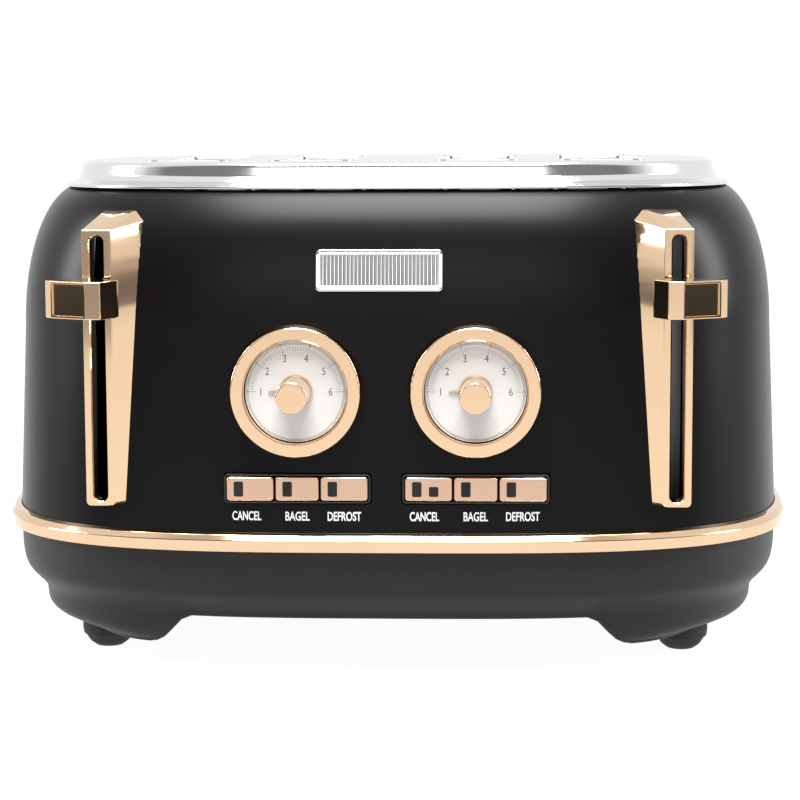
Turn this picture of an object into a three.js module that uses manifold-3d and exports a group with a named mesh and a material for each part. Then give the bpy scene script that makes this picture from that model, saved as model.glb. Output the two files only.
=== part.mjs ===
// A four-slice pop-up toaster: two independent two-slice mechanisms in one pressed housing.
// Millimetres, +Z up, +X to the right of the person who uses it, -Y towards them.
// The origin is on the table, under the middle of the toaster's overall box.
import * as THREE from "three";
import { ConvexGeometry } from "three/addons/geometries/ConvexGeometry.js";
import { mergeVertices } from "three/addons/utils/BufferGeometryUtils.js";
import Module from "manifold-3d";

const wasm = await Module();
wasm.setup();

// ---------------------------------------------------------------- driving dimensions

const gap = 0.3; // between pieces that touch
const sheet = 1; // steel sheet of the housing and the top plate

// Plan shape shared by the housing, trim ring, base and top plate: a superellipse.
const halfWidth = 165; // to the outside of the trim ring
const halfDepth = 146;
const squareness = 3.4;
const planSteps = 44;

// Heights from the table
const plinthBottom = 8.8;
const archHeight = 21.2; // underside of the base between its side skids
const ringBottom = 49.7;
const ringHeight = 7.3;
const shellTop = 188.4;
const plateTop = 199;

// Housing wall, as an inset from the outside of the trim ring
const wallInset = 3.9; // where the wall leaves the ring
const wallLean = 0.0413; // inset gained per millimetre of height, below the shoulder
const shoulderStart = 132;
const shoulderRise = 57.5;
const shoulderDepth = 23.4;

// Toast slots, each running front to back
const slotWidth = 32;
const chamberEnd = 7; // from the end of a slot to the middle of the chassis plate beyond it
const innerSlotX = 34.4;
const slotPitch = 51; // between the two slots of one mechanism
const slotCorner = 4;
const slotLip = 8; // depth of the turned-down edge

// Controls on the front
const dialX = 34.4;
const dialZ = 112.3;
const bezelRadius = 25.8;
const dialOpening = 19.7;
const knobRadius = 5.9;
const knobReach = 27; // from the wall to the knob's face
const buttonRowZ = 74.3;
const buttonHeight = 9.3;
const buttonWidths = [18.2, 16.8, 18.2];
const buttonGap = 0.65;
const buttonTravel = 2.5;
const badgeX = -2.6;
const badgeZ = 158.2;
const badgeWidth = 49;
const badgeHeight = 16;

// Lever towers, handles and carriages
const leverFromSide = 53; // from the outside of the ring to the middle of the lever
const towerProud = 9.4; // front face, forwards of the housing wall
const towerHalf = 5.6;
const towerTop = 173.6;
const towerBottom = 66.2;
const leverSlot = 5.2;
const leverSlotBottom = 68;
const leverSlotTop = 171.4;
const leverZ = 148.4; // handle height at rest
const leverTravel = 72;
const liftTravel = 16; // extra rise of the handle above rest, for small slices
const handleReach = 28; // from the tower's face to the front of the handle
const handleHeight = 14.2;

// Toasting chamber
const mechanismBay = 74; // room for the mechanism between the outside of the ring and each chassis plate
const plateSheet = 1.2;
const chamberTop = 186;
const floorTop = 23.8; // top of the base's floor
const rackTop = 116; // bread racks at rest
const rackHeight = 12;
const boardBottom = 44;
const boardTop = 178;
const boardSheet = 1;
const guardSheet = 1.5;
const guardBottom = 37;
const guardTop = 184;
const guardTravel = 5; // each guard closes on the bread by this much

const rodX = 58;
const rodForward = 16; // of the front chassis plate
const rodRadius = 2.5;
const bushBottom = 126;
const bushHeight = 14;
const springFoot = 28;

const boardBack = 20.5; // control boards, behind the housing wall at the dials
const footFromSide = 47;
const footFromFront = 61;
const footRadius = 11;
const footHeight = 11.4;

// Crumb trays
const trayInner = 10;
const trayOuter = 105;
const trayBottom = 24.4;
const trayTop = 32.7;

// Cord gland in the rear of the base
const glandZ = 38;
const glandBore = 4;

// ---------------------------------------------------------------- positions that follow from them

const chamberHalf = halfDepth - mechanismBay;
const slotLength = 2 * (chamberHalf - chamberEnd);
const leverX = halfWidth - leverFromSide;
const rodY = -chamberHalf - rodForward;
const footX = halfWidth - footFromSide;
const footY = halfDepth - footFromFront;

// ---------------------------------------------------------------- shapes and solids

const paint = (color, roughness, metalness) =>
  new THREE.MeshStandardMaterial({ color, roughness, metalness });
const looks = {
  blackEnamel: paint(0x17171a, 0.35, 0.2),
  polishedSteel: paint(0xd8d9dc, 0.12, 1),
  copper: paint(0xd9a27a, 0.18, 1),
  blackPlastic: paint(0x232223, 0.5, 0),
  rubber: paint(0x141414, 0.85, 0),
  dialWhite: paint(0xe9e8e4, 0.5, 0),
  steel: paint(0xa9adb0, 0.4, 1),
  mica: paint(0xb9b09a, 0.6, 0),
  boardGreen: paint(0x2c6b46, 0.6, 0),
};

// A closed geometry as a manifold solid.
function solid(geometry) {
  const bare = (geometry.index ? geometry.toNonIndexed() : geometry).clone();
  const merged = mergeVertices(
    new THREE.BufferGeometry().setAttribute(
      "position",
      bare.getAttribute("position"),
    ),
    1e-4,
  );
  const all = merged.index.array;
  const kept = [];
  for (let i = 0; i < all.length; i += 3) {
    const [a, b, c] = [all[i], all[i + 1], all[i + 2]];
    if (a !== b && b !== c && a !== c) kept.push(a, b, c);
  }
  const make = (triVerts) =>
    new wasm.Manifold(
      new wasm.Mesh({
        numProp: 3,
        vertProperties: merged.attributes.position.array,
        triVerts: new Uint32Array(triVerts),
      }),
    );
  const made = make(kept);
  if (made.volume() > 0) return made;
  for (let i = 0; i < kept.length; i += 3)
    [kept[i + 1], kept[i + 2]] = [kept[i + 2], kept[i + 1]];
  return make(kept);
}

function geometryOf(made) {
  const mesh = made.getMesh();
  return new THREE.BufferGeometry()
    .setAttribute("position", new THREE.BufferAttribute(mesh.vertProperties, 3))
    .setIndex(new THREE.BufferAttribute(mesh.triVerts, 1));
}

const join = (...solids) => solids.reduce((all, next) => all.add(next));
const cut = (from, ...tools) =>
  tools.reduce((all, next) => all.subtract(next), from);

function block(x0, x1, y0, y1, z0, z1) {
  const box = new THREE.BoxGeometry(x1 - x0, y1 - y0, z1 - z0);
  return solid(box.translate((x0 + x1) / 2, (y0 + y1) / 2, (z0 + z1) / 2));
}

const outline = (points) =>
  new THREE.Shape(points.map(([x, y]) => new THREE.Vector2(x, y)));

// An outline drawn in X and Z, with thickness from y0 to y1.
function prismXZ(shape, y0, y1, curveSegments = 6) {
  const body = new THREE.ExtrudeGeometry(shape, {
    depth: y1 - y0,
    bevelEnabled: false,
    curveSegments,
  });
  return solid(body.rotateX(Math.PI / 2).translate(0, y1, 0));
}

// An outline drawn in Y and Z, with thickness from x0 to x1.
function prismYZ(shape, x0, x1, curveSegments = 6) {
  const body = new THREE.ExtrudeGeometry(shape, {
    depth: x1 - x0,
    bevelEnabled: false,
    curveSegments,
  });
  const turn = new THREE.Matrix4().makeBasis(
    new THREE.Vector3(0, 1, 0),
    new THREE.Vector3(0, 0, 1),
    new THREE.Vector3(1, 0, 0),
  );
  return solid(body.applyMatrix4(turn).translate(x0, 0, 0));
}

// An outline drawn in plan, with thickness from z0 to z1.
function prismXY(shape, z0, z1, curveSegments = 6) {
  const body = new THREE.ExtrudeGeometry(shape, {
    depth: z1 - z0,
    bevelEnabled: false,
    curveSegments,
  });
  return solid(body.translate(0, 0, z0));
}

function roundedRectangle(cx, cy, width, height, radius) {
  const [x, y] = [cx - width / 2, cy - height / 2];
  const quarter = Math.PI / 2;
  return new THREE.Shape()
    .moveTo(x + radius, y)
    .lineTo(x + width - radius, y)
    .absarc(x + width - radius, y + radius, radius, -quarter, 0)
    .lineTo(x + width, y + height - radius)
    .absarc(x + width - radius, y + height - radius, radius, 0, quarter)
    .lineTo(x + radius, y + height)
    .absarc(x + radius, y + height - radius, radius, quarter, 2 * quarter)
    .lineTo(x, y + radius)
    .absarc(x + radius, y + radius, radius, 2 * quarter, 3 * quarter);
}

// A turned piece on a vertical axis; the profile is [radius, height] pairs.
function turnedZ(profile, x, y, steps) {
  const points = profile.map(([r, h]) => new THREE.Vector2(r, h));
  const body = new THREE.LatheGeometry(points, steps);
  return solid(body.rotateX(Math.PI / 2).translate(x, y, 0));
}

// A turned piece that faces the user; heights run forwards from the plane y.
function turnedFront(profile, x, y, z, steps) {
  const points = profile.map(([r, h]) => new THREE.Vector2(r, h));
  const body = new THREE.LatheGeometry(points, steps);
  return solid(body.rotateZ(Math.PI).translate(x, y, z));
}

const rodZ = (x, y, radius, z0, z1, steps = 12) =>
  turnedZ([[0, z0], [radius, z0], [radius, z1], [0, z1]], x, y, steps);

// The housing's plan shape swept along a profile of [inset, height] pairs. Past the flat inset the plan
// shrinks evenly, so that an inset of the whole half width is the axis.
const flatInset = 40;
function sweptPlan(profile) {
  const points = profile.map(([inset, z]) => new THREE.Vector2(halfWidth - inset, z));
  const body = new THREE.LatheGeometry(points, planSteps);
  const position = body.getAttribute("position");
  for (let i = 0; i < position.count; i++) {
    const [x, z, y] = [position.getX(i), position.getY(i), -position.getZ(i)];
    const radius = Math.hypot(x, y);
    const inset = halfWidth - radius;
    const shrink = inset > flatInset ? radius / (halfWidth - flatInset) : 1;
    const held = Math.min(inset, flatInset);
    const [c, s] = radius > 1e-9 ? [x / radius, y / radius] : [0, 0];
    const spread =
      radius > 1e-9
        ? (Math.abs(c) ** squareness + Math.abs(s) ** squareness) ** (-1 / squareness)
        : 0;
    position.setXYZ(
      i,
      (halfWidth - held) * shrink * c * spread,
      (halfDepth - held) * shrink * s * spread,
      z,
    );
  }
  return solid(body);
}

const axis = halfWidth; // an inset that reaches the axis

// How far forwards the plan shape reaches at x, for a given inset.
function reachAt(x, inset) {
  const share = (Math.abs(x) / (halfWidth - inset)) ** squareness;
  return (halfDepth - inset) * (1 - share) ** (1 / squareness);
}

// A piece drawn for the right-hand side, turned over for the left-hand one.
function onSide(side, made) {
  if (side > 0) return made;
  return solid(geometryOf(made).applyMatrix4(new THREE.Matrix4().makeScale(-1, 1, 1)));
}

// ---------------------------------------------------------------- housing

// Inset of the housing's outside at a height.
function wallAt(z) {
  const lean = wallInset + wallLean * (Math.min(z, shoulderStart) - ringBottom - ringHeight);
  const climb = Math.max(0, (z - shoulderStart) / shoulderRise);
  return lean + shoulderDepth * (1 - Math.sqrt(1 - climb ** 2));
}

// The wall's profile from z0 to the top, moved outwards by grow along its own normal.
const shoulderSteps = 5;
function wallProfile(z0, grow) {
  const heights = [z0, (z0 + shoulderStart) / 2, shoulderStart];
  const last = Math.asin((shellTop - shoulderStart) / shoulderRise);
  for (let i = 1; i <= shoulderSteps; i++)
    heights.push(shoulderStart + shoulderRise * Math.sin((last * i) / shoulderSteps));
  return heights.map((z) => {
    const slope = (wallAt(Math.min(z + 0.01, shellTop)) - wallAt(z - 0.01)) / 0.02;
    const length = Math.hypot(1, slope);
    return [wallAt(z) - grow / length, z + (grow * slope) / length];
  });
}

const shellBottom = ringBottom + gap;

// A solid that fills the housing, swollen by grow: it shapes the backs of what sits on the wall.
function wallFilled(grow) {
  const outer = wallProfile(shellBottom, grow);
  return sweptPlan([[axis, outer[0][1]], ...outer, [axis, outer.at(-1)[1]]]);
}

const dialY = -reachAt(dialX, wallAt(dialZ)); // the wall at each dial
const boardY = dialY + boardBack; // front face of the control boards
const towerMiddle = (leverSlotBottom + leverSlotTop) / 2;
const towerFace = reachAt(leverX, wallAt(towerMiddle)) + towerProud;
const sleeveRadius = 22.8;
const buttonRowWidth = buttonWidths.reduce((a, b) => a + b) + 2 * buttonGap;
const frameRim = 1.1;
const framePlate = 2; // thickness of the button frame's flange behind the wall

function bodyShell() {
  const outer = wallProfile(shellBottom, 0);
  const inner = wallProfile(shellBottom, -sheet).reverse();
  inner[inner.length - 1][1] = shellBottom;
  inner[0][1] = shellTop - sheet;
  const shell = sweptPlan([...outer, ...inner, outer[0]]);
  const front = [-halfDepth - 5, -halfDepth + 60];
  const holes = [];
  for (const side of [-1, 1]) {
    const lever = roundedRectangle(
      side * leverX,
      (leverSlotBottom + leverSlotTop) / 2,
      leverSlot + 1.6,
      leverSlotTop - leverSlotBottom + 3,
      2,
    );
    const row = roundedRectangle(
      side * dialX,
      buttonRowZ,
      buttonRowWidth + 2 * frameRim + 2 * gap,
      buttonHeight + 2 * frameRim + 2 * gap,
      2,
    );
    holes.push(prismXZ(lever, ...front, 1), prismXZ(row, ...front, 1));
    holes.push(
      turnedFront(
        [[0, -20], [sleeveRadius + gap, -20], [sleeveRadius + gap, 10], [0, 10]],
        side * dialX,
        dialY,
        dialZ,
        24,
      ),
    );
  }
  return cut(shell, ...holes);
}

function trimRing() {
  const inner = wallAt(ringBottom + ringHeight) - gap;
  const rise = ringHeight / 2;
  const middle = ringBottom + rise;
  const profile = [[inner, ringBottom], [inner * 0.42, ringBottom]];
  for (const turn of [-50, 0, 50])
    profile.push([
      inner * 0.42 * (1 - Math.cos((turn * Math.PI) / 180)),
      middle + rise * 0.98 * Math.sin((turn * Math.PI) / 180),
    ]);
  profile.push([inner * 0.42, ringBottom + ringHeight], [inner, ringBottom + ringHeight]);
  return sweptPlan([...profile, profile[0]]);
}

// The polished plate laps over the housing's shoulder and carries a raised deck with the four slots.
const lipInset = 24.2;
const deckInset = 32;
function topPlate(slotXs) {
  const lip = shellTop + gap;
  const outer = [
    [lipInset, lip],
    [lipInset + 0.3, lip + 1],
    [lipInset + 2.6, lip + 2],
    [deckInset - 3.4, lip + 2.8],
    [deckInset - 2.1, lip + 4.4],
    [deckInset - 1, plateTop - 2.7],
    [deckInset - 0.1, plateTop - 1.1],
    [deckInset + 1.8, plateTop],
    [axis, plateTop],
  ];
  const inner = [
    [axis, plateTop - sheet],
    [deckInset + 2.2, plateTop - sheet],
    [deckInset + 0.8, plateTop - 2.4],
    [deckInset - 0.9, lip + 4],
    [deckInset - 2.8, lip + 1.7],
    [lipInset + 3, lip + 1],
    [lipInset + 3, lip],
  ];
  // The inner profile returns to the lip, so the plate is one open-bottomed dish.
  const dish = sweptPlan([[axis, plateTop - sheet], ...inner.slice(1), ...outer]);
  const slots = slotXs.map((x) => {
    const opening = roundedRectangle(x, 0, slotWidth, slotLength, slotCorner);
    return prismXY(opening, plateTop - slotLip - 5, plateTop + 5, 2);
  });
  const collars = slotXs.map((x) => {
    const collar = roundedRectangle(
      x,
      0,
      slotWidth + 2 * sheet,
      slotLength + 2 * sheet,
      slotCorner + sheet,
    );
    return prismXY(collar, plateTop - slotLip, plateTop + 0.5, 2);
  });
  return cut(join(dish, ...collars), ...slots);
}

// ---------------------------------------------------------------- base

const baseWall = 2.6;
const baseTop = ringBottom - gap;

// The base's outside from under the trim ring to the arch, moved inwards by inwards.
const basinInset = 4;
const basinRound = 17; // height of the rounding of its lower edge
const basinCurve = [
  [0, 17],
  [0.9, 13],
  [2.2, 9.3],
  [4.6, 5.8],
  [7.2, 2.6],
  [8.6, 0],
]; // inset gained and height above the arch
function basinProfile(inwards, bottom) {
  const squeeze = (archHeight + basinRound - bottom) / basinRound;
  const curve = basinCurve.map(([draw, rise]) => [
    basinInset + inwards + draw,
    bottom + rise * squeeze,
  ]);
  return [[basinInset + inwards, baseTop], ...curve];
}

function plinthProfile(inwards, bottom, top) {
  return [
    [12.9 + inwards, top],
    [13.6 + inwards, 16 + inwards / 2],
    [16.2 + inwards, 11.8 + inwards],
    [21.4 + inwards, 10 + inwards],
    [30 + inwards, bottom],
  ];
}

const skidInner = halfWidth - 73; // inner edge of each side skid at the bottom
const skidSlant = 9;

// Everything inside the base's outside, or inside its cavity when inwards is the wall thickness.
function baseFilled(inwards) {
  const bottom = archHeight + inwards;
  const top = inwards ? baseTop + 5 : baseTop;
  const basin = basinProfile(inwards, bottom);
  const rim = [basinInset + inwards, top];
  const upper = sweptPlan([[axis, top], rim, ...basin.slice(1), [axis, bottom]]);
  const low = plinthBottom + inwards;
  const plinth = sweptPlan([
    [axis, bottom + 1],
    ...plinthProfile(inwards, low, bottom + 1),
    [axis, low],
  ]);
  const inner = skidInner + inwards * 1.6;
  const skid = [
    [inner, low - 1],
    [inner, low],
    [inner - skidSlant * 0.3, low + 1.6],
    [inner - skidSlant, bottom + 1.2],
    [halfWidth, bottom + 1.2],
    [halfWidth, low - 1],
  ];
  const sides = [-1, 1].map((side) =>
    onSide(side, prismXZ(outline(skid), -halfDepth, halfDepth).intersect(plinth)),
  );
  const archHalf = 46 - inwards;
  const sideArch = [
    [-archHalf - 8, low - 2],
    [-archHalf, low + 3.6],
    [archHalf, low + 3.6],
    [archHalf + 8, low - 2],
  ];
  const arch = prismYZ(outline(sideArch), -halfWidth, halfWidth);
  return join(upper, ...sides.map((s) => cut(s, arch)));
}

const trayOpening = (side) => {
  const [x0, x1] = [trayInner - 0.6, trayOuter + 0.6];
  return onSide(side, block(x0, x1, 60, halfDepth, trayBottom - 0.4, trayTop + 0.5));
};

const louvreCount = 6;
const louvrePitch = 15;
function basePan() {
  let pan = cut(baseFilled(0), baseFilled(baseWall));
  const corners = [-1, 1].flatMap((sx) => [-1, 1].map((sy) => [sx * footX, sy * footY]));
  const inside = baseFilled(0.2);
  const bosses = corners.map(([x, y]) =>
    rodZ(x, y, footRadius + 3, plinthBottom + 0.2, footHeight + 4, 12).intersect(inside),
  );
  pan = join(pan, ...bosses);
  const sockets = corners.map(([x, y]) =>
    rodZ(x, y, footRadius + gap, 0, footHeight + gap, 16),
  );
  const louvres = [];
  for (let i = 0; i < louvreCount; i++) {
    const y = (i - (louvreCount - 1) / 2) * louvrePitch;
    louvres.push(block(-halfWidth, -halfWidth + 34, y - 1.5, y + 1.5, 12.2, 18.6));
    louvres.push(block(halfWidth - 34, halfWidth, y - 1.5, y + 1.5, 12.2, 18.6));
  }
  const glandHole = turnedFront(
    [[0, -40], [6 + gap, -40], [6 + gap, 40], [0, 40]],
    0,
    halfDepth,
    glandZ,
    20,
  );
  return cut(pan, ...sockets, ...louvres, trayOpening(-1), trayOpening(1), glandHole);
}

function foot(x, y) {
  const profile = [
    [0, 0],
    [5.6, 0],
    [7.4, 0.9],
    [10, 4.2],
    [footRadius, footHeight - 2],
    [footRadius, footHeight],
    [0, footHeight],
  ];
  return turnedZ(profile, x, y, 16);
}

const glandY = reachAt(0, basinInsetAt(glandZ)); // rear surface of the base at the gland
function cordGland() {
  const profile = [
    [glandBore, -7],
    [6, -7],
    [6, gap],
    [9, gap],
    [8, 3],
    [glandBore, 3],
    [glandBore, -7],
  ];
  const body = new THREE.LatheGeometry(
    profile.map(([r, h]) => new THREE.Vector2(r, h)),
    20,
  );
  return solid(body.translate(0, glandY, glandZ));
}

// The basin's inset at a height, read off its own profile.
function basinInsetAt(z) {
  const points = basinProfile(0, archHeight);
  for (let i = 1; i < points.length; i++) {
    const [[i0, z0], [i1, z1]] = [points[i - 1], points[i]];
    if (z <= z0 && z >= z1) return i0 + ((i1 - i0) * (z0 - z)) / (z0 - z1);
  }
  return points.at(-1)[0];
}

// A tray that slides out of the rear of the base, with a front that carries on the base's own surface.
function crumbTray(side) {
  const rear = halfDepth - 34;
  const [y0, y1] = [-chamberHalf + 5, rear];
  const pan = cut(
    block(trayInner, trayOuter, y0, y1, trayBottom, trayBottom + 6),
    block(trayInner + 1, trayOuter - 1, y0 + 1, y1 + 5, trayBottom + 1, trayTop + 5),
  );
  const band = cut(
    baseFilled(0),
    baseFilled(baseWall),
  ).intersect(block(trayInner, trayOuter, 60, halfDepth, trayBottom + 1, trayTop));
  const floor = block(trayInner, trayOuter, rear - 2, rear + 26, trayBottom, trayBottom + 1.2)
    .intersect(baseFilled(0));
  const grip = block(40, 75, reachAt(40, 12) - 4, halfDepth - 2, 25.4, 28);
  return onSide(side, join(pan, floor, band, grip));
}

// ---------------------------------------------------------------- controls

function dialBezel(side) {
  const x = side * dialX;
  const flange = turnedFront(
    [
      [dialOpening + 2, -8],
      [bezelRadius, -8],
      [bezelRadius, 5.8],
      [bezelRadius - 0.6, 7.6],
      [bezelRadius - 1.6, 8.4],
      [dialOpening + 0.4, 5.4],
      [dialOpening, 4.6],
      [dialOpening, 1],
      [dialOpening + 2, 1],
      [dialOpening + 2, -8],
    ],
    x,
    dialY,
    dialZ,
    28,
  );
  const sleeve = turnedFront(
    [
      [dialOpening, 0.6],
      [dialOpening + 1.6, 0.6],
      [dialOpening + 1.6, -8],
      [sleeveRadius, -8],
      [sleeveRadius, 2],
      [dialOpening, 2],
      [dialOpening, 0.6],
    ],
    x,
    dialY,
    dialZ,
    28,
  );
  return join(cut(flange, wallFilled(gap)), sleeve);
}

const faceFront = 0.3; // forwards of the wall at the dial
const faceBack = -0.9;
function dialFace(side) {
  return turnedFront(
    [
      [3.4, faceBack],
      [dialOpening + 1.3, faceBack],
      [dialOpening + 1.3, faceFront],
      [3.4, faceFront],
      [3.4, faceBack],
    ],
    side * dialX,
    dialY,
    dialZ,
    28,
  );
}

// Knob, shaft and pointer; the pointer lies to the left, at the lowest setting.
function dialKnob(side) {
  const shaftEnd = dialY - boardY + 4; // inside the potentiometer's socket
  const knob = turnedFront(
    [
      [0, shaftEnd],
      [2.9, shaftEnd],
      [2.9, faceFront + 0.4],
      [knobRadius + 0.5, faceFront + 0.4],
      [knobRadius + 0.5, 1.6],
      [knobRadius, 2],
      [knobRadius, knobReach - 0.8],
      [knobRadius - 0.6, knobReach],
      [0, knobReach],
    ],
    side * dialX,
    dialY,
    dialZ,
    24,
  );
  const x = side * dialX;
  const pointer = block(x - 10.4, x - 5, dialY - 2, dialY - 1.2, dialZ - 0.6, dialZ + 0.6);
  return join(knob, pointer);
}

const rowFace = -reachAt(dialX - buttonRowWidth / 2, wallAt(buttonRowZ)); // wall behind the button rows
const buttonFace = rowFace - 1.6;

function buttonFrame(side) {
  const x = side * dialX;
  const inner = roundedRectangle(
    x,
    buttonRowZ,
    buttonRowWidth + 2 * gap,
    buttonHeight + 2 * gap,
    0.5,
  );
  const outer = roundedRectangle(
    x,
    buttonRowZ,
    buttonRowWidth + 2 * frameRim,
    buttonHeight + 2 * frameRim,
    1.8,
  );
  const innerWall = rowFace + 5; // behind the curved wall everywhere along the row
  const rim = prismXZ(outer, rowFace - 0.7, innerWall, 2);
  const flange = block(
    x - buttonRowWidth / 2 - 4,
    x + buttonRowWidth / 2 + 4,
    innerWall,
    innerWall + framePlate,
    buttonRowZ - 9.5,
    buttonRowZ + 9.5,
  );
  const posts = [-1, 1].map((end) => {
    const px = x + end * (buttonRowWidth / 2 + 1);
    return block(px - 2.5, px + 2.5, innerWall, boardY - gap, buttonRowZ - 9, buttonRowZ - 6);
  });
  return cut(join(rim, flange, ...posts), prismXZ(inner, rowFace - 2, innerWall + 5, 2));
}

// Cap and stem of one push button; order counts from the left of the row.
function button(side, order) {
  const start = side * dialX - buttonRowWidth / 2;
  const before = buttonWidths.slice(0, order).reduce((a, b) => a + b, 0) + order * buttonGap;
  const [x0, x1] = [start + before, start + before + buttonWidths[order]];
  const middle = (x0 + x1) / 2;
  const [z0, z1] = [buttonRowZ - buttonHeight / 2, buttonRowZ + buttonHeight / 2];
  const cap = new ConvexGeometry(
    [
      [x0, z0, buttonFace + 0.7],
      [x0 + 0.5, z0 + 0.5, buttonFace],
      [x0, z0, buttonFace + 7],
    ].flatMap(([x, z, y]) => {
      const [dx, dz] = [x - x0, z - z0];
      return [
        [x0 + dx, z0 + dz],
        [x1 - dx, z0 + dz],
        [x1 - dx, z1 - dz],
        [x0 + dx, z1 - dz],
      ].map(([px, pz]) => new THREE.Vector3(px, y, pz));
    }),
  );
  const stemEnd = boardY - 4.3 - buttonTravel - 0.2;
  const stem = block(middle - 1.5, middle + 1.5, buttonFace + 6, stemEnd, buttonRowZ - 1.5, buttonRowZ + 1.5);
  return join(solid(cap), stem);
}

function nameBadge() {
  const shape = roundedRectangle(badgeX, badgeZ, badgeWidth, badgeHeight, 2);
  const plate = cut(wallFilled(2.2), wallFilled(gap)).intersect(
    prismXZ(shape, -halfDepth - 5, -90, 2),
  );
  const field = roundedRectangle(badgeX, badgeZ, badgeWidth - 3, badgeHeight - 3, 1.2);
  const recess = cut(wallFilled(3), wallFilled(1.5)).intersect(
    prismXZ(field, -halfDepth - 5, -90, 2),
  );
  return cut(plate, recess);
}

// ---------------------------------------------------------------- lever towers and handles

// Where the tower's edges meet the housing wall: x from the lever's middle, and height
const towerSeat = {
  innerBottom: [-9.2, towerBottom],
  innerTop: [-16.5, towerTop + 3],
  corner: [-13.2, towerTop + 6.7],
  outerTop: [0.7, towerTop + 6.7],
  outerBottom: [towerHalf - 0.4, towerBottom],
};
const towerSteps = 6;
const towerSink = 4; // how far its mesh runs past the wall before the wall cuts it off

// A faceted tower whose slot guides the lever; its back follows the housing wall.
function leverBezel(side) {
  const front = -towerFace;
  const seatPoint = (from, [dx, z]) => {
    const x = leverX + dx;
    const seat = new THREE.Vector3(x, -reachAt(x, wallAt(z)), z);
    return seat.add(seat.clone().sub(from).setLength(towerSink));
  };
  const between = (a, b, t) => a.map((v, i) => v + (b[i] - v) * t);
  const points = [];
  for (let i = 0; i <= towerSteps; i++) {
    const t = i / towerSteps;
    const z = towerBottom + (towerTop - towerBottom) * t;
    const outer = new THREE.Vector3(leverX + towerHalf, front, z);
    const inner = new THREE.Vector3(leverX - towerHalf, front, z);
    points.push(
      outer,
      inner,
      seatPoint(inner, between(towerSeat.innerBottom, towerSeat.innerTop, t)),
      seatPoint(outer, between(towerSeat.outerBottom, towerSeat.outerTop, t)),
    );
  }
  const top = 4 * towerSteps;
  points.push(seatPoint(points[top + 1], towerSeat.corner));
  const faces = [0, 1, 2, 0, 2, 3];
  for (let i = 0; i < towerSteps; i++)
    for (let j = 0; j < 4; j++) {
      const [a, b] = [4 * i + j, 4 * i + ((j + 1) % 4)];
      faces.push(a, a + 4, b + 4, a, b + 4, b);
    }
  const peak = top + 4;
  faces.push(top, peak, top + 1, top, top + 3, peak, top + 1, peak, top + 2, top + 2, peak, top + 3);
  const body = new THREE.BufferGeometry().setFromPoints(points);
  body.setIndex(faces);
  const middle = (leverSlotBottom + leverSlotTop) / 2;
  const length = leverSlotTop - leverSlotBottom;
  const slot = roundedRectangle(leverX, middle, leverSlot, length, leverSlot / 2 - 0.01);
  const slotCut = prismXZ(slot, front - 5, front + 45, 2);
  return onSide(side, cut(solid(body), wallFilled(gap), slotCut));
}

const stemWidth = 3;
const stemHeight = 7;
const stemTip = -towerFace - handleReach + 7;

// A faceted grip on the end of the carriage's stem, longer on its outer wing.
function leverKnob(side) {
  const plan = [
    [-10.8, 14],
    [-10.8, 18.5],
    [-6.1, handleReach],
    [-0.4, handleReach],
    [14.2, 19.5],
    [16.9, 16.5],
    [16.3, 13.5],
    [4, 9.5],
    [4, 4],
    [-4, 4],
    [-4, 9.5],
  ].map(([dx, out]) => [leverX + dx, -towerFace - out]);
  const [z0, z1] = [leverZ - handleHeight / 2, leverZ + handleHeight / 2];
  const body = prismXY(outline(plan), z0, z1);
  const [sx, sz] = [stemWidth / 2 + gap, stemHeight / 2 + gap];
  const socket = block(
    leverX - sx,
    leverX + sx,
    stemTip - gap,
    -towerFace,
    leverZ - sz,
    leverZ + sz,
  );
  return onSide(side, cut(body, socket));
}

// ---------------------------------------------------------------- toasting chamber

const chassisHalf = 118;
const boardTab = [95, 120];
const rackSlotWidth = 3.4;
const guardOffset = slotWidth / 2 - guardSheet / 2 + 0.5; // guard centre from its slot's centre, open

function chassisPlate(y, slotXs, boardXs, front) {
  const shape = front
    ? outline([
        [-chassisHalf, floorTop + gap],
        [chassisHalf, floorTop + gap],
        [chassisHalf, chamberTop],
        [-chassisHalf, chamberTop],
      ])
    : outline([
        [-chassisHalf, floorTop + gap],
        [-trayOuter - 2, floorTop + gap],
        [-trayOuter - 2, trayTop + 1.5],
        [-trayInner + 2, trayTop + 1.5],
        [-trayInner + 2, floorTop + gap],
        [trayInner - 2, floorTop + gap],
        [trayInner - 2, trayTop + 1.5],
        [trayOuter + 2, trayTop + 1.5],
        [trayOuter + 2, floorTop + gap],
        [chassisHalf, floorTop + gap],
        [chassisHalf, chamberTop],
        [-chassisHalf, chamberTop],
      ]);
  const [y0, y1] = [y - plateSheet / 2, y + plateSheet / 2];
  const cavity = join(wallFilled(-sheet - 1), baseFilled(baseWall + gap));
  const plate = prismXZ(shape, y0, y1).intersect(cavity);
  const holes = [];
  for (const x of boardXs)
    holes.push(
      block(x - boardSheet / 2 - gap, x + boardSheet / 2 + gap, y0 - 1, y1 + 1, boardTab[0] - gap, boardTab[1] + gap),
    );
  for (const x of slotXs) {
    if (front)
      holes.push(
        block(
          x - rackSlotWidth / 2,
          x + rackSlotWidth / 2,
          y0 - 1,
          y1 + 1,
          rackTop - rackHeight - leverTravel - 3,
          rackTop + liftTravel + 3,
        ),
      );
    for (const z of [guardBottom, guardTop - guardRail])
      for (const hand of [-1, 1]) {
        const [near, far] = [guardOffset - guardTravel - 1.6, guardOffset + 3.2];
        const [a, b] = [x + hand * near, x + hand * far].sort((p, q) => p - q);
        holes.push(block(a, b, y0 - 1, y1 + 1, z - gap, z + guardRail + gap));
      }
  }
  return cut(plate, ...holes);
}

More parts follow.
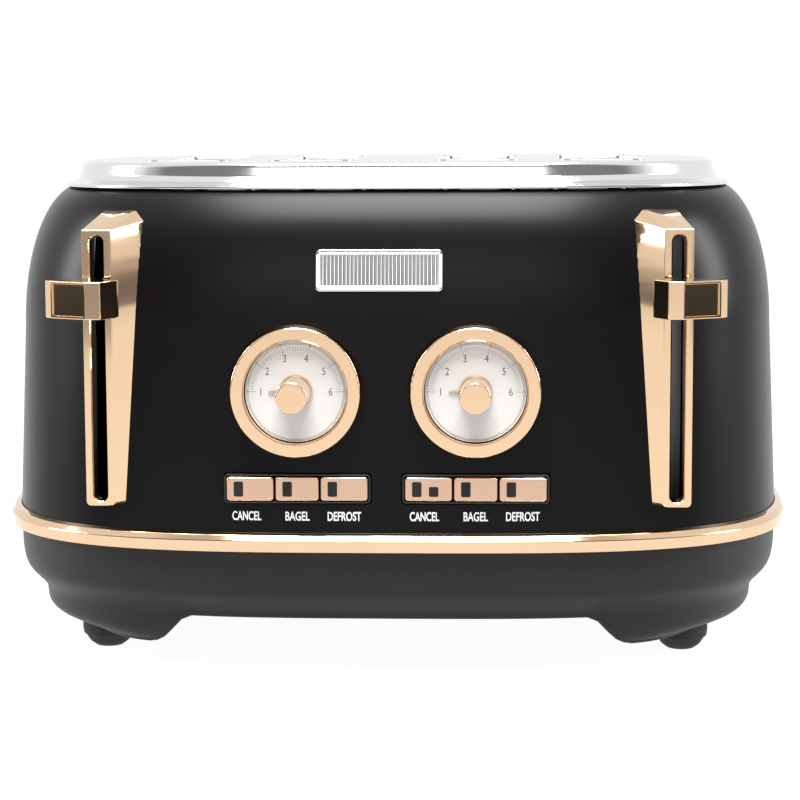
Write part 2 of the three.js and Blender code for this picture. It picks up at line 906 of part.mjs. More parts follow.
const earReach = rodY - 8;
function frontPlate(slotXs, boardXs) {
  const ears = [];
  for (const side of [-1, 1])
    for (const z of [springFoot - 2, 172])
      ears.push(
        cut(
          block(side * rodX - 8, side * rodX + 8, earReach, -chamberHalf, z, z + 2),
          rodZ(side * rodX, rodY, rodRadius + gap, z - 1, z + 3),
        ),
      );
  return join(chassisPlate(-chamberHalf, slotXs, boardXs, true), ...ears);
}

function heaterBoard(x) {
  const half = chamberHalf - plateSheet / 2 - gap;
  const body = block(x - boardSheet / 2, x + boardSheet / 2, -half, half, boardBottom, boardTop);
  const reach = chamberHalf + plateSheet / 2 + 1;
  const tabs = block(x - boardSheet / 2, x + boardSheet / 2, -reach, reach, ...boardTab);
  return join(body, tabs);
}

const guardRail = 2.4;
function breadGuard(x) {
  const [x0, x1] = [x - guardSheet / 2, x + guardSheet / 2];
  const reach = chamberHalf + plateSheet / 2 + 1.5;
  const bars = [
    block(x0, x1, -reach, reach, guardBottom, guardBottom + guardRail),
    block(x0, x1, -reach, reach, guardTop - guardRail, guardTop),
  ];
  const count = 7;
  for (let i = 0; i < count; i++) {
    const y = (i / (count - 1) - 0.5) * (slotLength - 2);
    bars.push(block(x0, x1, y - 0.8, y + 0.8, guardBottom + 1, guardTop - 1));
  }
  return join(...bars);
}

// A cradle for one slice: a spine on edge with cross fingers, hooked on the carriage at its front.
const carriageFront = -chamberHalf - 9;
const carriageSheet = 1.5;
function breadRack(x) {
  const [z0, z1] = [rackTop - rackHeight, rackTop];
  const front = carriageFront + carriageSheet + gap;
  const reach = slotLength / 2 - 3;
  const parts = [block(x - 0.75, x + 0.75, front, reach, z0, z1)];
  for (let i = 0; i < 6; i++) {
    const y = (i / 5 - 0.5) * 2 * (reach - 5);
    parts.push(block(x - 8, x + 8, y - 0.75, y + 0.75, z1 - 5, z1));
  }
  return join(...parts);
}

// Bracket that carries both racks, the guide bush, the armature and the lever's stem.
function carriage(side) {
  const [y0, y1] = [carriageFront, carriageFront + carriageSheet];
  const low = rackTop - rackHeight;
  const bracket = [
    [innerSlotX - 8, low],
    [leverX + 4, low],
    [leverX + 4, leverZ + stemHeight / 2],
    [leverX - 6, leverZ + stemHeight / 2],
    [leverX - 12, rackTop + 4],
    [rodX + 9, rackTop + 4],
    [rodX + 7, bushBottom + bushHeight],
    [rodX - 7, bushBottom + bushHeight],
    [rodX - 9, rackTop + 4],
    [innerSlotX - 8, rackTop + 4],
  ];
  const plate = prismXZ(outline(bracket), y0, y1);
  const bush = cut(
    join(
      rodZ(rodX, rodY, 6, bushBottom, bushBottom + bushHeight),
      block(rodX - 3, rodX + 3, rodY, y1, bushBottom, bushBottom + bushHeight),
    ),
    rodZ(rodX, rodY, rodRadius + gap, bushBottom - 1, bushBottom + bushHeight + 1),
  );
  const armatureTop = armatureZ + armatureSheet;
  const armature = join(
    block(78, 98, y0 - 18, y1, armatureZ, armatureTop),
    block(78, 98, y0, y1, Math.min(low, armatureZ), Math.max(rackTop, armatureTop)),
  );
  const stem = block(
    leverX - stemWidth / 2,
    leverX + stemWidth / 2,
    stemTip,
    y1,
    leverZ - stemHeight / 2,
    leverZ + stemHeight / 2,
  );
  return onSide(side, join(plate, bush, armature, stem));
}

const magnetTop = 47;
const armatureZ = magnetTop + 0.5 + leverTravel;
const armatureSheet = 1.8;

// Electromagnet that holds the carriage down: coil on an E core, standing on the base's floor.
function holdMagnet(side) {
  const [x, y] = [88, rodY - 2];
  const coil = rodZ(x, y, 7.5, floorTop + 5, magnetTop - 3, 20);
  const core = join(
    block(x - 10, x + 10, y - 6, y + 6, floorTop + gap, floorTop + 6),
    block(x - 10, x - 7.8, y - 6, y + 6, floorTop + gap, magnetTop),
    block(x + 7.8, x + 10, y - 6, y + 6, floorTop + gap, magnetTop),
    block(x - 4, x + 4, y - 4, y + 4, floorTop + gap, magnetTop),
  );
  return onSide(side, join(core, coil));
}

function guideRod(side) {
  const rod = rodZ(side * rodX, rodY, rodRadius, springFoot - 4, 176);
  const head = rodZ(side * rodX, rodY, rodRadius + 1.2, 174 + gap, 176.5);
  return join(rod, head);
}

// A compression spring between the lower ear and the carriage's bush.
function liftSpring(side) {
  const turns = 12;
  const steps = 7; // straight lengths in each turn
  const wire = 0.7;
  const radius = 4.6;
  const [z0, z1] = [springFoot + wire + gap, bushBottom - wire - gap];
  const points = [];
  for (let i = 0; i <= turns * steps; i++) {
    const angle = (i / steps) * 2 * Math.PI;
    const z = z0 + ((z1 - z0) * i) / (turns * steps);
    points.push(
      new THREE.Vector3(
        side * rodX + radius * Math.cos(angle),
        rodY + radius * Math.sin(angle),
        z,
      ),
    );
  }
  const section = new THREE.Shape().absarc(0, 0, wire, 0, 2 * Math.PI);
  const coil = new THREE.ExtrudeGeometry(section, {
    steps: turns * steps,
    curveSegments: 2,
    extrudePath: new THREE.CatmullRomCurve3(points),
  });
  return solid(coil);
}

// Control board with the browning potentiometer, three push switches and a timer chip.
function controlBoard(side) {
  const x = side * dialX;
  const plate = block(x - 29, x + 29, boardY, boardY + 1.6, 61, 134);
  const pot = cut(
    block(x - 8.5, x + 8.5, boardY - 7, boardY + 0.5, dialZ - 8.5, dialZ + 8.5),
    turnedFront([[0, 0], [3.3, 0], [3.3, 10], [0, 10]], x, boardY - 3.4, dialZ, 16),
  );
  const start = x - buttonRowWidth / 2;
  const switches = buttonWidths.map((width, i) => {
    const before = buttonWidths.slice(0, i).reduce((a, b) => a + b, 0) + i * buttonGap;
    const middle = start + before + width / 2;
    return join(
      block(middle - 3, middle + 3, boardY - 3.5, boardY + 0.5, buttonRowZ - 3, buttonRowZ + 3),
      block(middle - 1.6, middle + 1.6, boardY - 4.3, boardY, buttonRowZ - 1.6, buttonRowZ + 1.6),
    );
  });
  const chip = block(x - 20, x - 8, boardY + 1, boardY + 4, 85, 93);
  const relay = block(x + 4, x + 22, boardY + 1, boardY + 14, 82, 96);
  return join(plate, pot, ...switches, chip, relay);
}

// ---------------------------------------------------------------- assembly

const sides = [
  ["left", -1],
  ["right", 1],
];
const slotXs = [-innerSlotX - slotPitch, -innerSlotX, innerSlotX, innerSlotX + slotPitch];
const boardXs = [-1, 1].flatMap((side) =>
  [-0.5, 0.5, 1.5].map((k) => side * (innerSlotX + k * slotPitch)),
);
boardXs.sort((a, b) => a - b);

const toaster = new THREE.Group();
toaster.name = "toaster";

// Brings the middle of the overall box, handles included, over the origin.
const frontReach = Math.max(towerFace + handleReach, knobReach - dialY);
const centring = (frontReach - halfDepth) / 2;
function place(name, look, made) {
  const geometry = geometryOf(made).translate(0, centring, 0);
  geometry.computeVertexNormals();
  const mesh = new THREE.Mesh(geometry, look);
  mesh.name = name;
  toaster.add(mesh);
}

place("body_shell", looks.blackEnamel, bodyShell());
place("top_plate", looks.polishedSteel, topPlate(slotXs));
place("trim_ring", looks.copper, trimRing());
place("base_pan", looks.blackPlastic, basePan());
place("name_badge", looks.polishedSteel, nameBadge());
place("cord_gland", looks.blackPlastic, cordGland());
place("chassis_front_plate", looks.steel, frontPlate(slotXs, boardXs));
place("chassis_rear_plate", looks.steel, chassisPlate(chamberHalf, slotXs, boardXs, false));

for (const [hand, side] of sides) {
  place(`foot_front_${hand}`, looks.rubber, foot(side * footX, -footY));
  place(`foot_rear_${hand}`, looks.rubber, foot(side * footX, footY));
  place(`lever_bezel_${hand}`, looks.copper, leverBezel(side));
  place(`lever_knob_${hand}`, looks.copper, leverKnob(side));
  place(`dial_bezel_${hand}`, looks.copper, dialBezel(side));
  place(`dial_face_${hand}`, looks.dialWhite, dialFace(side));
  place(`dial_knob_${hand}`, looks.copper, dialKnob(side));
  place(`button_frame_${hand}`, looks.blackPlastic, buttonFrame(side));
  ["cancel", "bagel", "defrost"].forEach((use, order) =>
    place(`button_${use}_${hand}`, looks.copper, button(side, order)),
  );
  place(`crumb_tray_${hand}`, looks.steel, crumbTray(side));
  place(`carriage_${hand}`, looks.steel, carriage(side));
  place(`guide_rod_${hand}`, looks.steel, guideRod(side));
  place(`lift_spring_${hand}`, looks.steel, liftSpring(side));
  place(`magnet_${hand}`, looks.steel, holdMagnet(side));
  place(`control_board_${hand}`, looks.boardGreen, controlBoard(side));
}

slotXs.forEach((x, i) => {
  place(`bread_rack_${i + 1}`, looks.steel, breadRack(x));
  place(`bread_guard_${2 * i + 1}`, looks.steel, breadGuard(x - guardOffset));
  place(`bread_guard_${2 * i + 2}`, looks.steel, breadGuard(x + guardOffset));
});
boardXs.forEach((x, i) => place(`heater_board_${i + 1}`, looks.mica, heaterBoard(x)));

export default toaster;
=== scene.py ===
import math
import bmesh
import bpy
from mathutils import Matrix, Vector


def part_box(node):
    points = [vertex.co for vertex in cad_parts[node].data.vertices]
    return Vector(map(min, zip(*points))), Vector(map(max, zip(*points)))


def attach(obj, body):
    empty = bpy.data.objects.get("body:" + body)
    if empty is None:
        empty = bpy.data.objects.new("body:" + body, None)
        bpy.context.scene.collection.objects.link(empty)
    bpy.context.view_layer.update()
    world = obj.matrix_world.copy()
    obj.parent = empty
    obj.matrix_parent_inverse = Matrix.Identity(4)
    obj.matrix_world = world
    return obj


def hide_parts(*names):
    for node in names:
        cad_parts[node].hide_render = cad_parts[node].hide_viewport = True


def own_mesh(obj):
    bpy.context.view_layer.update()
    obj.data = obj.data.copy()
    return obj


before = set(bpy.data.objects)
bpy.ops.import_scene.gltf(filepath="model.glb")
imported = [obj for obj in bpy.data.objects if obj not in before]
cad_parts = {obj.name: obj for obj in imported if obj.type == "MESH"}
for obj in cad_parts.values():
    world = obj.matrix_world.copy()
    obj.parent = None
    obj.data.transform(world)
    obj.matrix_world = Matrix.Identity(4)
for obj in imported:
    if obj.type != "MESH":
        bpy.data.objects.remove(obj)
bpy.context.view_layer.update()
print("frame loaded")

mm = 0.001
sides = {"left": -1, "right": 1}

# The trim ring gives the plan shape of the housing.
ringLow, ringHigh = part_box("trim_ring")
plan = {
    "halfWidth": (ringHigh.x - ringLow.x) / 2,
    "halfDepth": (ringHigh.y - ringLow.y) / 2,
    "middleY": (ringHigh.y + ringLow.y) / 2,
    "squareness": 3.4,
    "steps": 256,
    "evenInset": 0.040,  # past this inset the plan shrinks evenly towards its middle
}


def spreadAt(turn):
    c, s = abs(math.cos(turn)), abs(math.sin(turn))
    return (c ** plan["squareness"] + s ** plan["squareness"]) ** (-1 / plan["squareness"])


def planPoint(turn, inset, z):
    held = min(inset, plan["evenInset"])
    shrink = 1.0
    if inset > plan["evenInset"]:
        shrink = (plan["halfWidth"] - inset) / (plan["halfWidth"] - plan["evenInset"])
    spread = spreadAt(turn)
    x = (plan["halfWidth"] - held) * shrink * math.cos(turn) * spread
    y = (plan["halfDepth"] - held) * shrink * math.sin(turn) * spread
    return Vector((x, y + plan["middleY"], z))


def reachAt(x, inset):
    share = (abs(x) / (plan["halfWidth"] - inset)) ** plan["squareness"]
    return (plan["halfDepth"] - inset) * (1 - share) ** (1 / plan["squareness"])


def addObject(name, data):
    made = bpy.data.objects.new(name, data)
    bpy.context.scene.collection.objects.link(made)
    return made


def newPiece(name, points, faces, finish, crease=32):
    mesh = bpy.data.meshes.new(name)
    mesh.from_pydata([tuple(p) for p in points], [], faces)
    mesh.validate()
    work = bmesh.new()
    work.from_mesh(mesh)
    bmesh.ops.remove_doubles(work, verts=work.verts, dist=1e-7)
    bmesh.ops.recalc_face_normals(work, faces=work.faces)
    work.to_mesh(mesh)
    work.free()
    piece = addObject(name, mesh)
    mesh.materials.append(finish)
    soften(piece, crease)
    return piece


def soften(piece, crease=32):
    mesh = piece.data
    for face in mesh.polygons:
        face.use_smooth = True
    mesh.set_sharp_from_angle(angle=math.radians(crease))
    return piece


def evenNormals(piece):
    modifier = piece.modifiers.new("evenNormals", "WEIGHTED_NORMAL")
    modifier.keep_sharp = True
    modifier.weight = 60
    return piece


# Rows of points joined into a skin; each row is a closed loop.
def skin(rows, closeEnds=True, ring=False):
    count = len(rows[0])
    points = [p for row in rows for p in row]
    faces = []
    spans = len(rows) if ring else len(rows) - 1
    for r in range(spans):
        a, b = r * count, ((r + 1) % len(rows)) * count
        for i in range(count):
            j = (i + 1) % count
            faces.append((a + i, a + j, b + j, b + i))
    if closeEnds and not ring:
        faces.append(tuple(range(count)))
        faces.append(tuple(range((len(rows) - 1) * count, len(rows) * count)))
    return points, faces


def sweptRows(profile, steps=None):
    steps = steps or plan["steps"]
    return [[planPoint(2 * math.pi * i / steps, inset, z) for i in range(steps)] for inset, z in profile]


# Rounds the corners of an open or closed outline of (a, b, radius) points.
def rounded(corners, closed=False, steps=5):
    out = []
    count = len(corners)
    for i, corner in enumerate(corners):
        here = Vector(corner[:2])
        radius = corner[2] if len(corner) > 2 else 0
        if radius == 0 or (not closed and i in (0, count - 1)):
            out.append(tuple(here))
            continue
        before, after = Vector(corners[i - 1][:2]), Vector(corners[(i + 1) % count][:2])
        u, v = (before - here).normalized(), (after - here).normalized()
        angle = u.angle(v)
        if angle > math.pi - 1e-3:
            out.append(tuple(here))
            continue
        back = min(radius / math.tan(angle / 2), (before - here).length * 0.49, (after - here).length * 0.49)
        start, end = here + u * back, here + v * back
        for k in range(steps + 1):
            t = k / steps
            out.append(tuple(start * (1 - t) ** 2 + here * 2 * t * (1 - t) + end * t ** 2))
    return out


def roundedRectangle(cx, cz, width, height, radius, steps=6):
    radius = max(radius, 1e-5)
    points = []
    for k, (sx, sz) in enumerate([(1, 1), (-1, 1), (-1, -1), (1, -1)]):
        ox, oz = cx + sx * (width / 2 - radius), cz + sz * (height / 2 - radius)
        for i in range(steps + 1):
            turn = (k + i / steps) * math.pi / 2
            points.append((ox + radius * math.cos(turn), oz + radius * math.sin(turn)))
    return points


# A rounded rectangle that faces the user, at the depth y.
def frontLoop(x, y, z, width, height, radius, steps):
    return [Vector((px, y, pz)) for px, pz in roundedRectangle(x, z, width, height, radius, steps)]


# Turned piece facing the user: profile of (radius, forwards) pairs from the plane y.
def turnedRows(profile, x, y, z, steps=96):
    rows = []
    for radius, ahead in profile:
        row = []
        for i in range(steps):
            turn = 2 * math.pi * i / steps
            row.append(Vector((x + radius * math.cos(turn), y - ahead, z + radius * math.sin(turn))))
        rows.append(row)
    return rows


# The mesh that a piece's modifiers leave, in place of its own.
def settle(piece):
    graph = bpy.context.evaluated_depsgraph_get()
    made = bpy.data.meshes.new_from_object(piece.evaluated_get(graph))
    piece.modifiers.clear()
    old = piece.data
    piece.data = made
    bpy.data.meshes.remove(old)
    return piece


def combine(piece, cutters, operation="DIFFERENCE", crease=32):
    for cutter in cutters:
        modifier = piece.modifiers.new("shape", "BOOLEAN")
        modifier.object = cutter
        modifier.operation = operation
        modifier.solver = "MANIFOLD"
    settle(piece)
    for cutter in cutters:
        mesh = cutter.data
        bpy.data.objects.remove(cutter)
        bpy.data.meshes.remove(mesh)
    soften(piece, crease)
    return piece


def place(piece, body, slotName, *nodes):
    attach(piece, body)
    if nodes:
        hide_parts(*nodes)
    return piece


# Colour varies by cloudy noise, gloss by a finer one, and the surface by a grain.
def makeFinish(name, settings):
    finish = bpy.data.materials.new(name)
    finish.use_nodes = True
    nodes, links = finish.node_tree.nodes, finish.node_tree.links
    shader = nodes["Principled BSDF"]
    where = nodes.new("ShaderNodeTexCoord")
    stretch = nodes.new("ShaderNodeMapping")
    stretch.inputs["Scale"].default_value = settings.get("stretch", (1, 1, 1))
    links.new(where.outputs["Object"], stretch.inputs["Vector"])

    cloud = nodes.new("ShaderNodeTexNoise")
    cloud.inputs["Scale"].default_value = settings.get("cloudScale", 30)
    cloud.inputs["Detail"].default_value = 4
    links.new(where.outputs["Object"], cloud.inputs["Vector"])
    tint = nodes.new("ShaderNodeMix")
    tint.data_type = "RGBA"
    tint.inputs["A"].default_value = (*settings["colour"], 1)
    tint.inputs["B"].default_value = (*settings.get("colour2", settings["colour"]), 1)
    links.new(cloud.outputs["Fac"], tint.inputs["Factor"])
    links.new(tint.outputs["Result"], shader.inputs["Base Color"])

    grain = nodes.new("ShaderNodeTexNoise")
    grain.inputs["Scale"].default_value = settings.get("grainScale", 900)
    grain.inputs["Detail"].default_value = settings.get("grainDetail", 3)
    links.new(stretch.outputs["Vector"], grain.inputs["Vector"])
    gloss = nodes.new("ShaderNodeMapRange")
    low, high = settings["roughness"]
    gloss.inputs["To Min"].default_value = low
    gloss.inputs["To Max"].default_value = high
    links.new(grain.outputs["Fac"], gloss.inputs["Value"])
    links.new(gloss.outputs["Result"], shader.inputs["Roughness"])

    bump = nodes.new("ShaderNodeBump")
    bump.inputs["Strength"].default_value = settings.get("grainStrength", 0.1)
    bump.inputs["Distance"].default_value = settings.get("grainDepth", 0.0001)
    links.new(grain.outputs["Fac"], bump.inputs["Height"])
    links.new(bump.outputs["Normal"], shader.inputs["Normal"])

    shader.inputs["Metallic"].default_value = settings.get("metallic", 0)
    shader.inputs["Specular IOR Level"].default_value = settings.get("specular", 0.5)
    finish.diffuse_color = (*settings["colour"], 1)
    return finish


finishes = {
    "satinBlack": {"colour": (0.0022, 0.0022, 0.0024), "colour2": (0.0032, 0.0032, 0.0034),
                   "roughness": (0.27, 0.33),
                   "grainScale": 1400, "grainStrength": 0.04, "grainDepth": 0.00004, "specular": 0.13},
    "polishedSteel": {"colour": (0.72, 0.72, 0.73), "colour2": (0.78, 0.78, 0.78), "roughness": (0.07, 0.13),
                      "metallic": 1, "stretch": (60, 1, 1), "grainScale": 60, "grainStrength": 0.02,
                      "grainDepth": 0.00005},
    "copperPlate": {"colour": (0.76, 0.535, 0.345), "colour2": (0.80, 0.57, 0.37), "roughness": (0.06, 0.1),
                    "metallic": 1, "cloudScale": 20, "grainScale": 500, "grainStrength": 0.015,
                    "grainDepth": 0.00005},
    "copperSatin": {"colour": (0.62, 0.41, 0.29), "colour2": (0.67, 0.45, 0.325), "roughness": (0.22, 0.26),
                    "metallic": 1, "grainScale": 900, "grainStrength": 0.01, "grainDepth": 0.00002},
    "blackMoulding": {"colour": (0.011, 0.0098, 0.0102), "colour2": (0.014, 0.0128, 0.0132),
                      "roughness": (0.42, 0.5), "specular": 0.3, "grainScale": 2600, "grainDetail": 2,
                      "grainStrength": 0.25, "grainDepth": 0.00008},
    "frameBlack": {"colour": (0.006, 0.006, 0.0065), "colour2": (0.009, 0.009, 0.0095),
                   "roughness": (0.3, 0.4),
                   "grainScale": 1800, "grainStrength": 0.08, "grainDepth": 0.00005},
    "footRubber": {"colour": (0.008, 0.008, 0.008), "colour2": (0.014, 0.013, 0.013),
                   "roughness": (0.7, 0.85),
                   "grainScale": 1200, "grainStrength": 0.3, "grainDepth": 0.0002},
    "dialCard": {"colour": (0.60, 0.605, 0.605), "colour2": (0.64, 0.645, 0.645), "roughness": (0.35, 0.5),
                 "grainScale": 2200, "grainStrength": 0.06, "grainDepth": 0.00004},
    "dialInk": {"colour": (0.06, 0.06, 0.062), "colour2": (0.1, 0.1, 0.1), "roughness": (0.5, 0.6),
                "grainScale": 3000},
    "whiteInk": {"colour": (0.85, 0.85, 0.85), "colour2": (0.78, 0.78, 0.78), "roughness": (0.45, 0.55),
                 "grainScale": 3000},
    "smokedLens": {"colour": (0.012, 0.012, 0.013), "colour2": (0.02, 0.02, 0.021),
                   "roughness": (0.2, 0.3), "specular": 0.2, "grainScale": 1500},
    # Steel darkened as painted shade: its dark colour hides the bright highlight along the magnet's top edge.
    "shadeDarkenedSteel": {"colour": (0.06, 0.06, 0.062), "colour2": (0.09, 0.09, 0.092), "roughness": (0.45, 0.6),
                  "metallic": 1, "grainScale": 800, "grainStrength": 0.1},
    "zincSteel": {"colour": (0.42, 0.43, 0.44), "colour2": (0.55, 0.56, 0.57), "roughness": (0.28, 0.45),
                  "metallic": 1, "cloudScale": 90, "grainScale": 800, "grainStrength": 0.1},
    "micaSheet": {"colour": (0.34, 0.30, 0.22), "colour2": (0.52, 0.47, 0.37), "roughness": (0.35, 0.6),
                  "cloudScale": 60, "grainScale": 300, "grainStrength": 0.2, "grainDepth": 0.0002},
    "heatingRibbon": {"colour": (0.20, 0.17, 0.15), "colour2": (0.34, 0.29, 0.26), "roughness": (0.4, 0.6),
                      "metallic": 1, "grainScale": 700, "grainStrength": 0.1},
    "boardGreen": {"colour": (0.015, 0.10, 0.045), "colour2": (0.02, 0.13, 0.06), "roughness": (0.3, 0.5),
                   "cloudScale": 200, "grainScale": 900, "grainStrength": 0.1},
}
finish = {name: makeFinish(name, settings) for name, settings in finishes.items()}
print("finishes made")

housing = {
    "bottom": 0.0500,
    "top": 0.1884,
    "ringTop": 0.0570,
    "wallInset": 0.0039,
    "lean": 0.0413,
    "shoulderStart": 0.132,
    "shoulderRise": 0.0575,
    "shoulderDepth": 0.0234,
    "sheet": 0.001,
}


def wallAt(z):
    lean = housing["wallInset"] + housing["lean"] * (min(z, housing["shoulderStart"]) - housing["ringTop"])
    climb = min(max(0.0, (z - housing["shoulderStart"]) / housing["shoulderRise"]), 0.9999)
    return lean + housing["shoulderDepth"] * (1 - math.sqrt(1 - climb ** 2))


def wallProfile(inwards):
    start, rise = housing["shoulderStart"], housing["shoulderRise"]
    last = math.asin((housing["top"] - start) / rise)
    heights = [housing["bottom"] + (start - housing["bottom"]) * i / 12 for i in range(12)]
    heights += [start + rise * math.sin(last * i / 22) for i in range(23)]
    profile = []
    for z in heights:
        slope = (wallAt(z + 1e-5) - wallAt(z - 1e-5)) / 2e-5
        length = math.hypot(1, slope)
        profile.append((wallAt(z) + inwards / length, z - inwards * slope / length))
    return profile


# Front surface of the housing at x and z, stood proud by some distance.
def wallY(x, z, proud=0.0):
    return plan["middleY"] - reachAt(x, wallAt(z)) - proud


# A block through the front wall with a rounded outline.
def frontCutter(x, z, width, height, radius, y0, y1, flare=0.0, flareDepth=0.0):
    sections = [(y0, flare), (y1, 0)]
    if flare:
        sections = [(y0, flare), (y0 + flareDepth, flare), (y0 + 2 * flareDepth, 0), (y1, 0)]
    rows = [frontLoop(x, y, z, width + 2 * extra, height + 2 * extra, radius + extra, 8)
            for y, extra in sections]
    return newPiece("cutter", *skin(rows), finish["satinBlack"])


def turnedCutter(profile, x, y, z, steps=64):
    return newPiece("cutter", *skin(turnedRows(profile, x, y, z, steps)), finish["satinBlack"])


# Middle of a box across and up, as seen from the front.
def middleOf(low, high):
    return (low.x + high.x) / 2, (low.z + high.z) / 2


lever = {
    "slotWidth": 0.0052,
    "slotBottom": 0.068,
    "slotTop": 0.1714,
}

dialSize = {
    "bezelRadius": 0.0258,
    "front": 0.0092,  # forwards of the housing wall
    "opening": 0.0197,
    "sleeve": 0.0228,
    "knobRadius": 0.0059,
    "cardStand": 0.0052,  # front of the card, forwards of the housing wall
    "cardRadius": 0.0194,
    "cardHole": 0.0062,
    "knobReach": 0.027,
}


def dialCentre(hand):
    low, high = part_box(f"dial_face_{hand}")
    return middleOf(low, high)


def dialWall(hand):
    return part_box(f"dial_face_{hand}")[0].y + 0.3 * mm


buttonUses = ("cancel", "bagel", "defrost")


def rowBox(hand):
    boxes = [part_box(f"button_{use}_{hand}") for use in buttonUses]
    low = Vector([min(b[0][k] for b in boxes) for k in range(3)])
    high = Vector([max(b[1][k] for b in boxes) for k in range(3)])
    return low, high


def leverCentre(hand):
    side = sides[hand]
    return side * (plan["halfWidth"] - 0.053)


def buildHousing():
    outer, inner = wallProfile(0), wallProfile(housing["sheet"])
    inner = inner[::-1]
    inner[-1] = (inner[-1][0], housing["bottom"])
    rows = sweptRows(outer + inner)
    shell = newPiece("housing_shell", *skin(rows, ring=True), finish["satinBlack"])
    cutters = []
    for hand in sides:
        x = leverCentre(hand)
        middle = (lever["slotBottom"] + lever["slotTop"]) / 2
        height = lever["slotTop"] - lever["slotBottom"] + 3 * mm
        cutters.append(frontCutter(x, middle, lever["slotWidth"] + 1.6 * mm, height, 2 * mm, -0.15, -0.08))
        low, high = rowBox(hand)
        cutters.append(frontCutter(*middleOf(low, high), high.x - low.x + 3 * mm, high.z - low.z + 3 * mm,
                                   1.6 * mm, -0.15, -0.115))
        dx, dz = dialCentre(hand)
        radius = dialSize["sleeve"] + 0.3 * mm
        cutters.append(turnedCutter([(radius, -0.015), (radius, 0.01)], dx, dialWall(hand), dz))
    combine(shell, cutters)
    return place(evenNormals(shell), "housing", "black_enamel", "body_shell")


ring = {"inner": 0.0036, "bottom": ringLow.z, "height": ringHigh.z - ringLow.z}


def buildRing():
    z0, z1 = ring["bottom"], ring["bottom"] + ring["height"]
    profile = rounded([
        (ring["inner"], z0), (0.0, z0, 1.1 * mm), (0.0, z0 + 4.6 * mm, 0.9 * mm),
        (1.5 * mm, z0 + 6.7 * mm, 1.2 * mm), (ring["inner"] - 0.2 * mm, z1 - 0.1 * mm), (ring["inner"], z1),
    ], steps=6)
    piece = newPiece("copper_trim_ring", *skin(sweptRows(profile), ring=True), finish["copperPlate"], 50)
    return place(evenNormals(piece), "housing", "copper", "trim_ring")


plate = {
    "lipInset": 0.0242,
    "lip": 0.1887,
    "deckInset": 0.0320,
    "top": 0.1990,
    "sheet": 0.001,
    "slotWidth": 0.032,
    "slotLength": 0.130,
    "slotCorner": 0.004,
    "slotXs": [sum(corner.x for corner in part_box(f"bread_rack_{i}")) / 2 for i in range(1, 5)],
    "collarDepth": 0.008,
}


def slotSolid(x, sections):
    rows = []
    for z, extra in sections:
        outline = roundedRectangle(x, plan["middleY"], plate["slotWidth"] + 2 * extra,
                                   plate["slotLength"] + 2 * extra, plate["slotCorner"] + extra, 10)
        rows.append([Vector((px, py, z)) for px, py in outline])
    return newPiece("cutter", *skin(rows), finish["polishedSteel"])


def buildTopPlate():
    lip, deck, top = plate["lipInset"], plate["deckInset"], plate["top"]
    z = plate["lip"]
    outer = rounded([
        (lip + 3 * mm, z), (lip, z, 0.4 * mm), (lip, z + 1.2 * mm, 0.8 * mm),
        (lip + 2.6 * mm, z + 2.0 * mm, 1.5 * mm),
        (deck - 3.0 * mm, z + 3.0 * mm, 1.4 * mm), (deck - 1.7 * mm, z + 5 * mm, 1.6 * mm),
        (deck - 0.6 * mm, top, 2.6 * mm), (deck + 6 * mm, top),
    ], steps=7)
    inner = [(deck + 6 * mm, top - plate["sheet"]), (deck + 2.4 * mm, top - plate["sheet"]),
             (deck + 0.8 * mm, top - 2.6 * mm), (deck - 0.7 * mm, z + 4.2 * mm),
             (deck - 2.4 * mm, z + 1.8 * mm), (lip + 3 * mm, z + 1.0 * mm)]
    middle = 0.110  # inset of the innermost ring of the flat deck
    rows = sweptRows(outer + [(middle, top)])
    under = sweptRows([(middle, top - plate["sheet"])] + inner)
    count = plan["steps"]
    points, faces = skin(rows + under, ring=True)
    # The two innermost rings are closed by flat faces instead of the wall that would join them.
    a, b = (len(rows) - 1) * count, len(rows) * count
    joining = {(a + i, a + (i + 1) % count, b + (i + 1) % count, b + i) for i in range(count)}
    faces = [f for f in faces if f not in joining]
    faces += [tuple(range(a, a + count)), tuple(range(b, b + count))]
    piece = newPiece("polished_top_plate", points, faces, finish["polishedSteel"])
    collars, openings = [], []
    for x in plate["slotXs"]:
        collars.append(slotSolid(x, [(top - plate["collarDepth"], 1 * mm), (top - 0.3 * mm, 1 * mm),
                                     (top - 0.29 * mm, 2.2 * mm), (top + 0.15 * mm, 2.1 * mm),
                                     (top + 0.38 * mm, 1.8 * mm), (top + 0.5 * mm, 1.2 * mm)]))
        openings.append(slotSolid(x, [(top - 0.02, 0), (top - 1.0 * mm, 0), (top - 0.3 * mm, 0.1 * mm),
                                      (top + 0.2 * mm, 0.4 * mm), (top + 0.45 * mm, 0.8 * mm),
                                      (top + 5 * mm, 1.2 * mm)]))
    combine(piece, collars, "UNION")
    combine(piece, openings)
    return place(evenNormals(piece), "housing", "polished_steel", "top_plate")


for build in (buildHousing, buildRing, buildTopPlate):
    build()
print("housing, ring and top plate built")

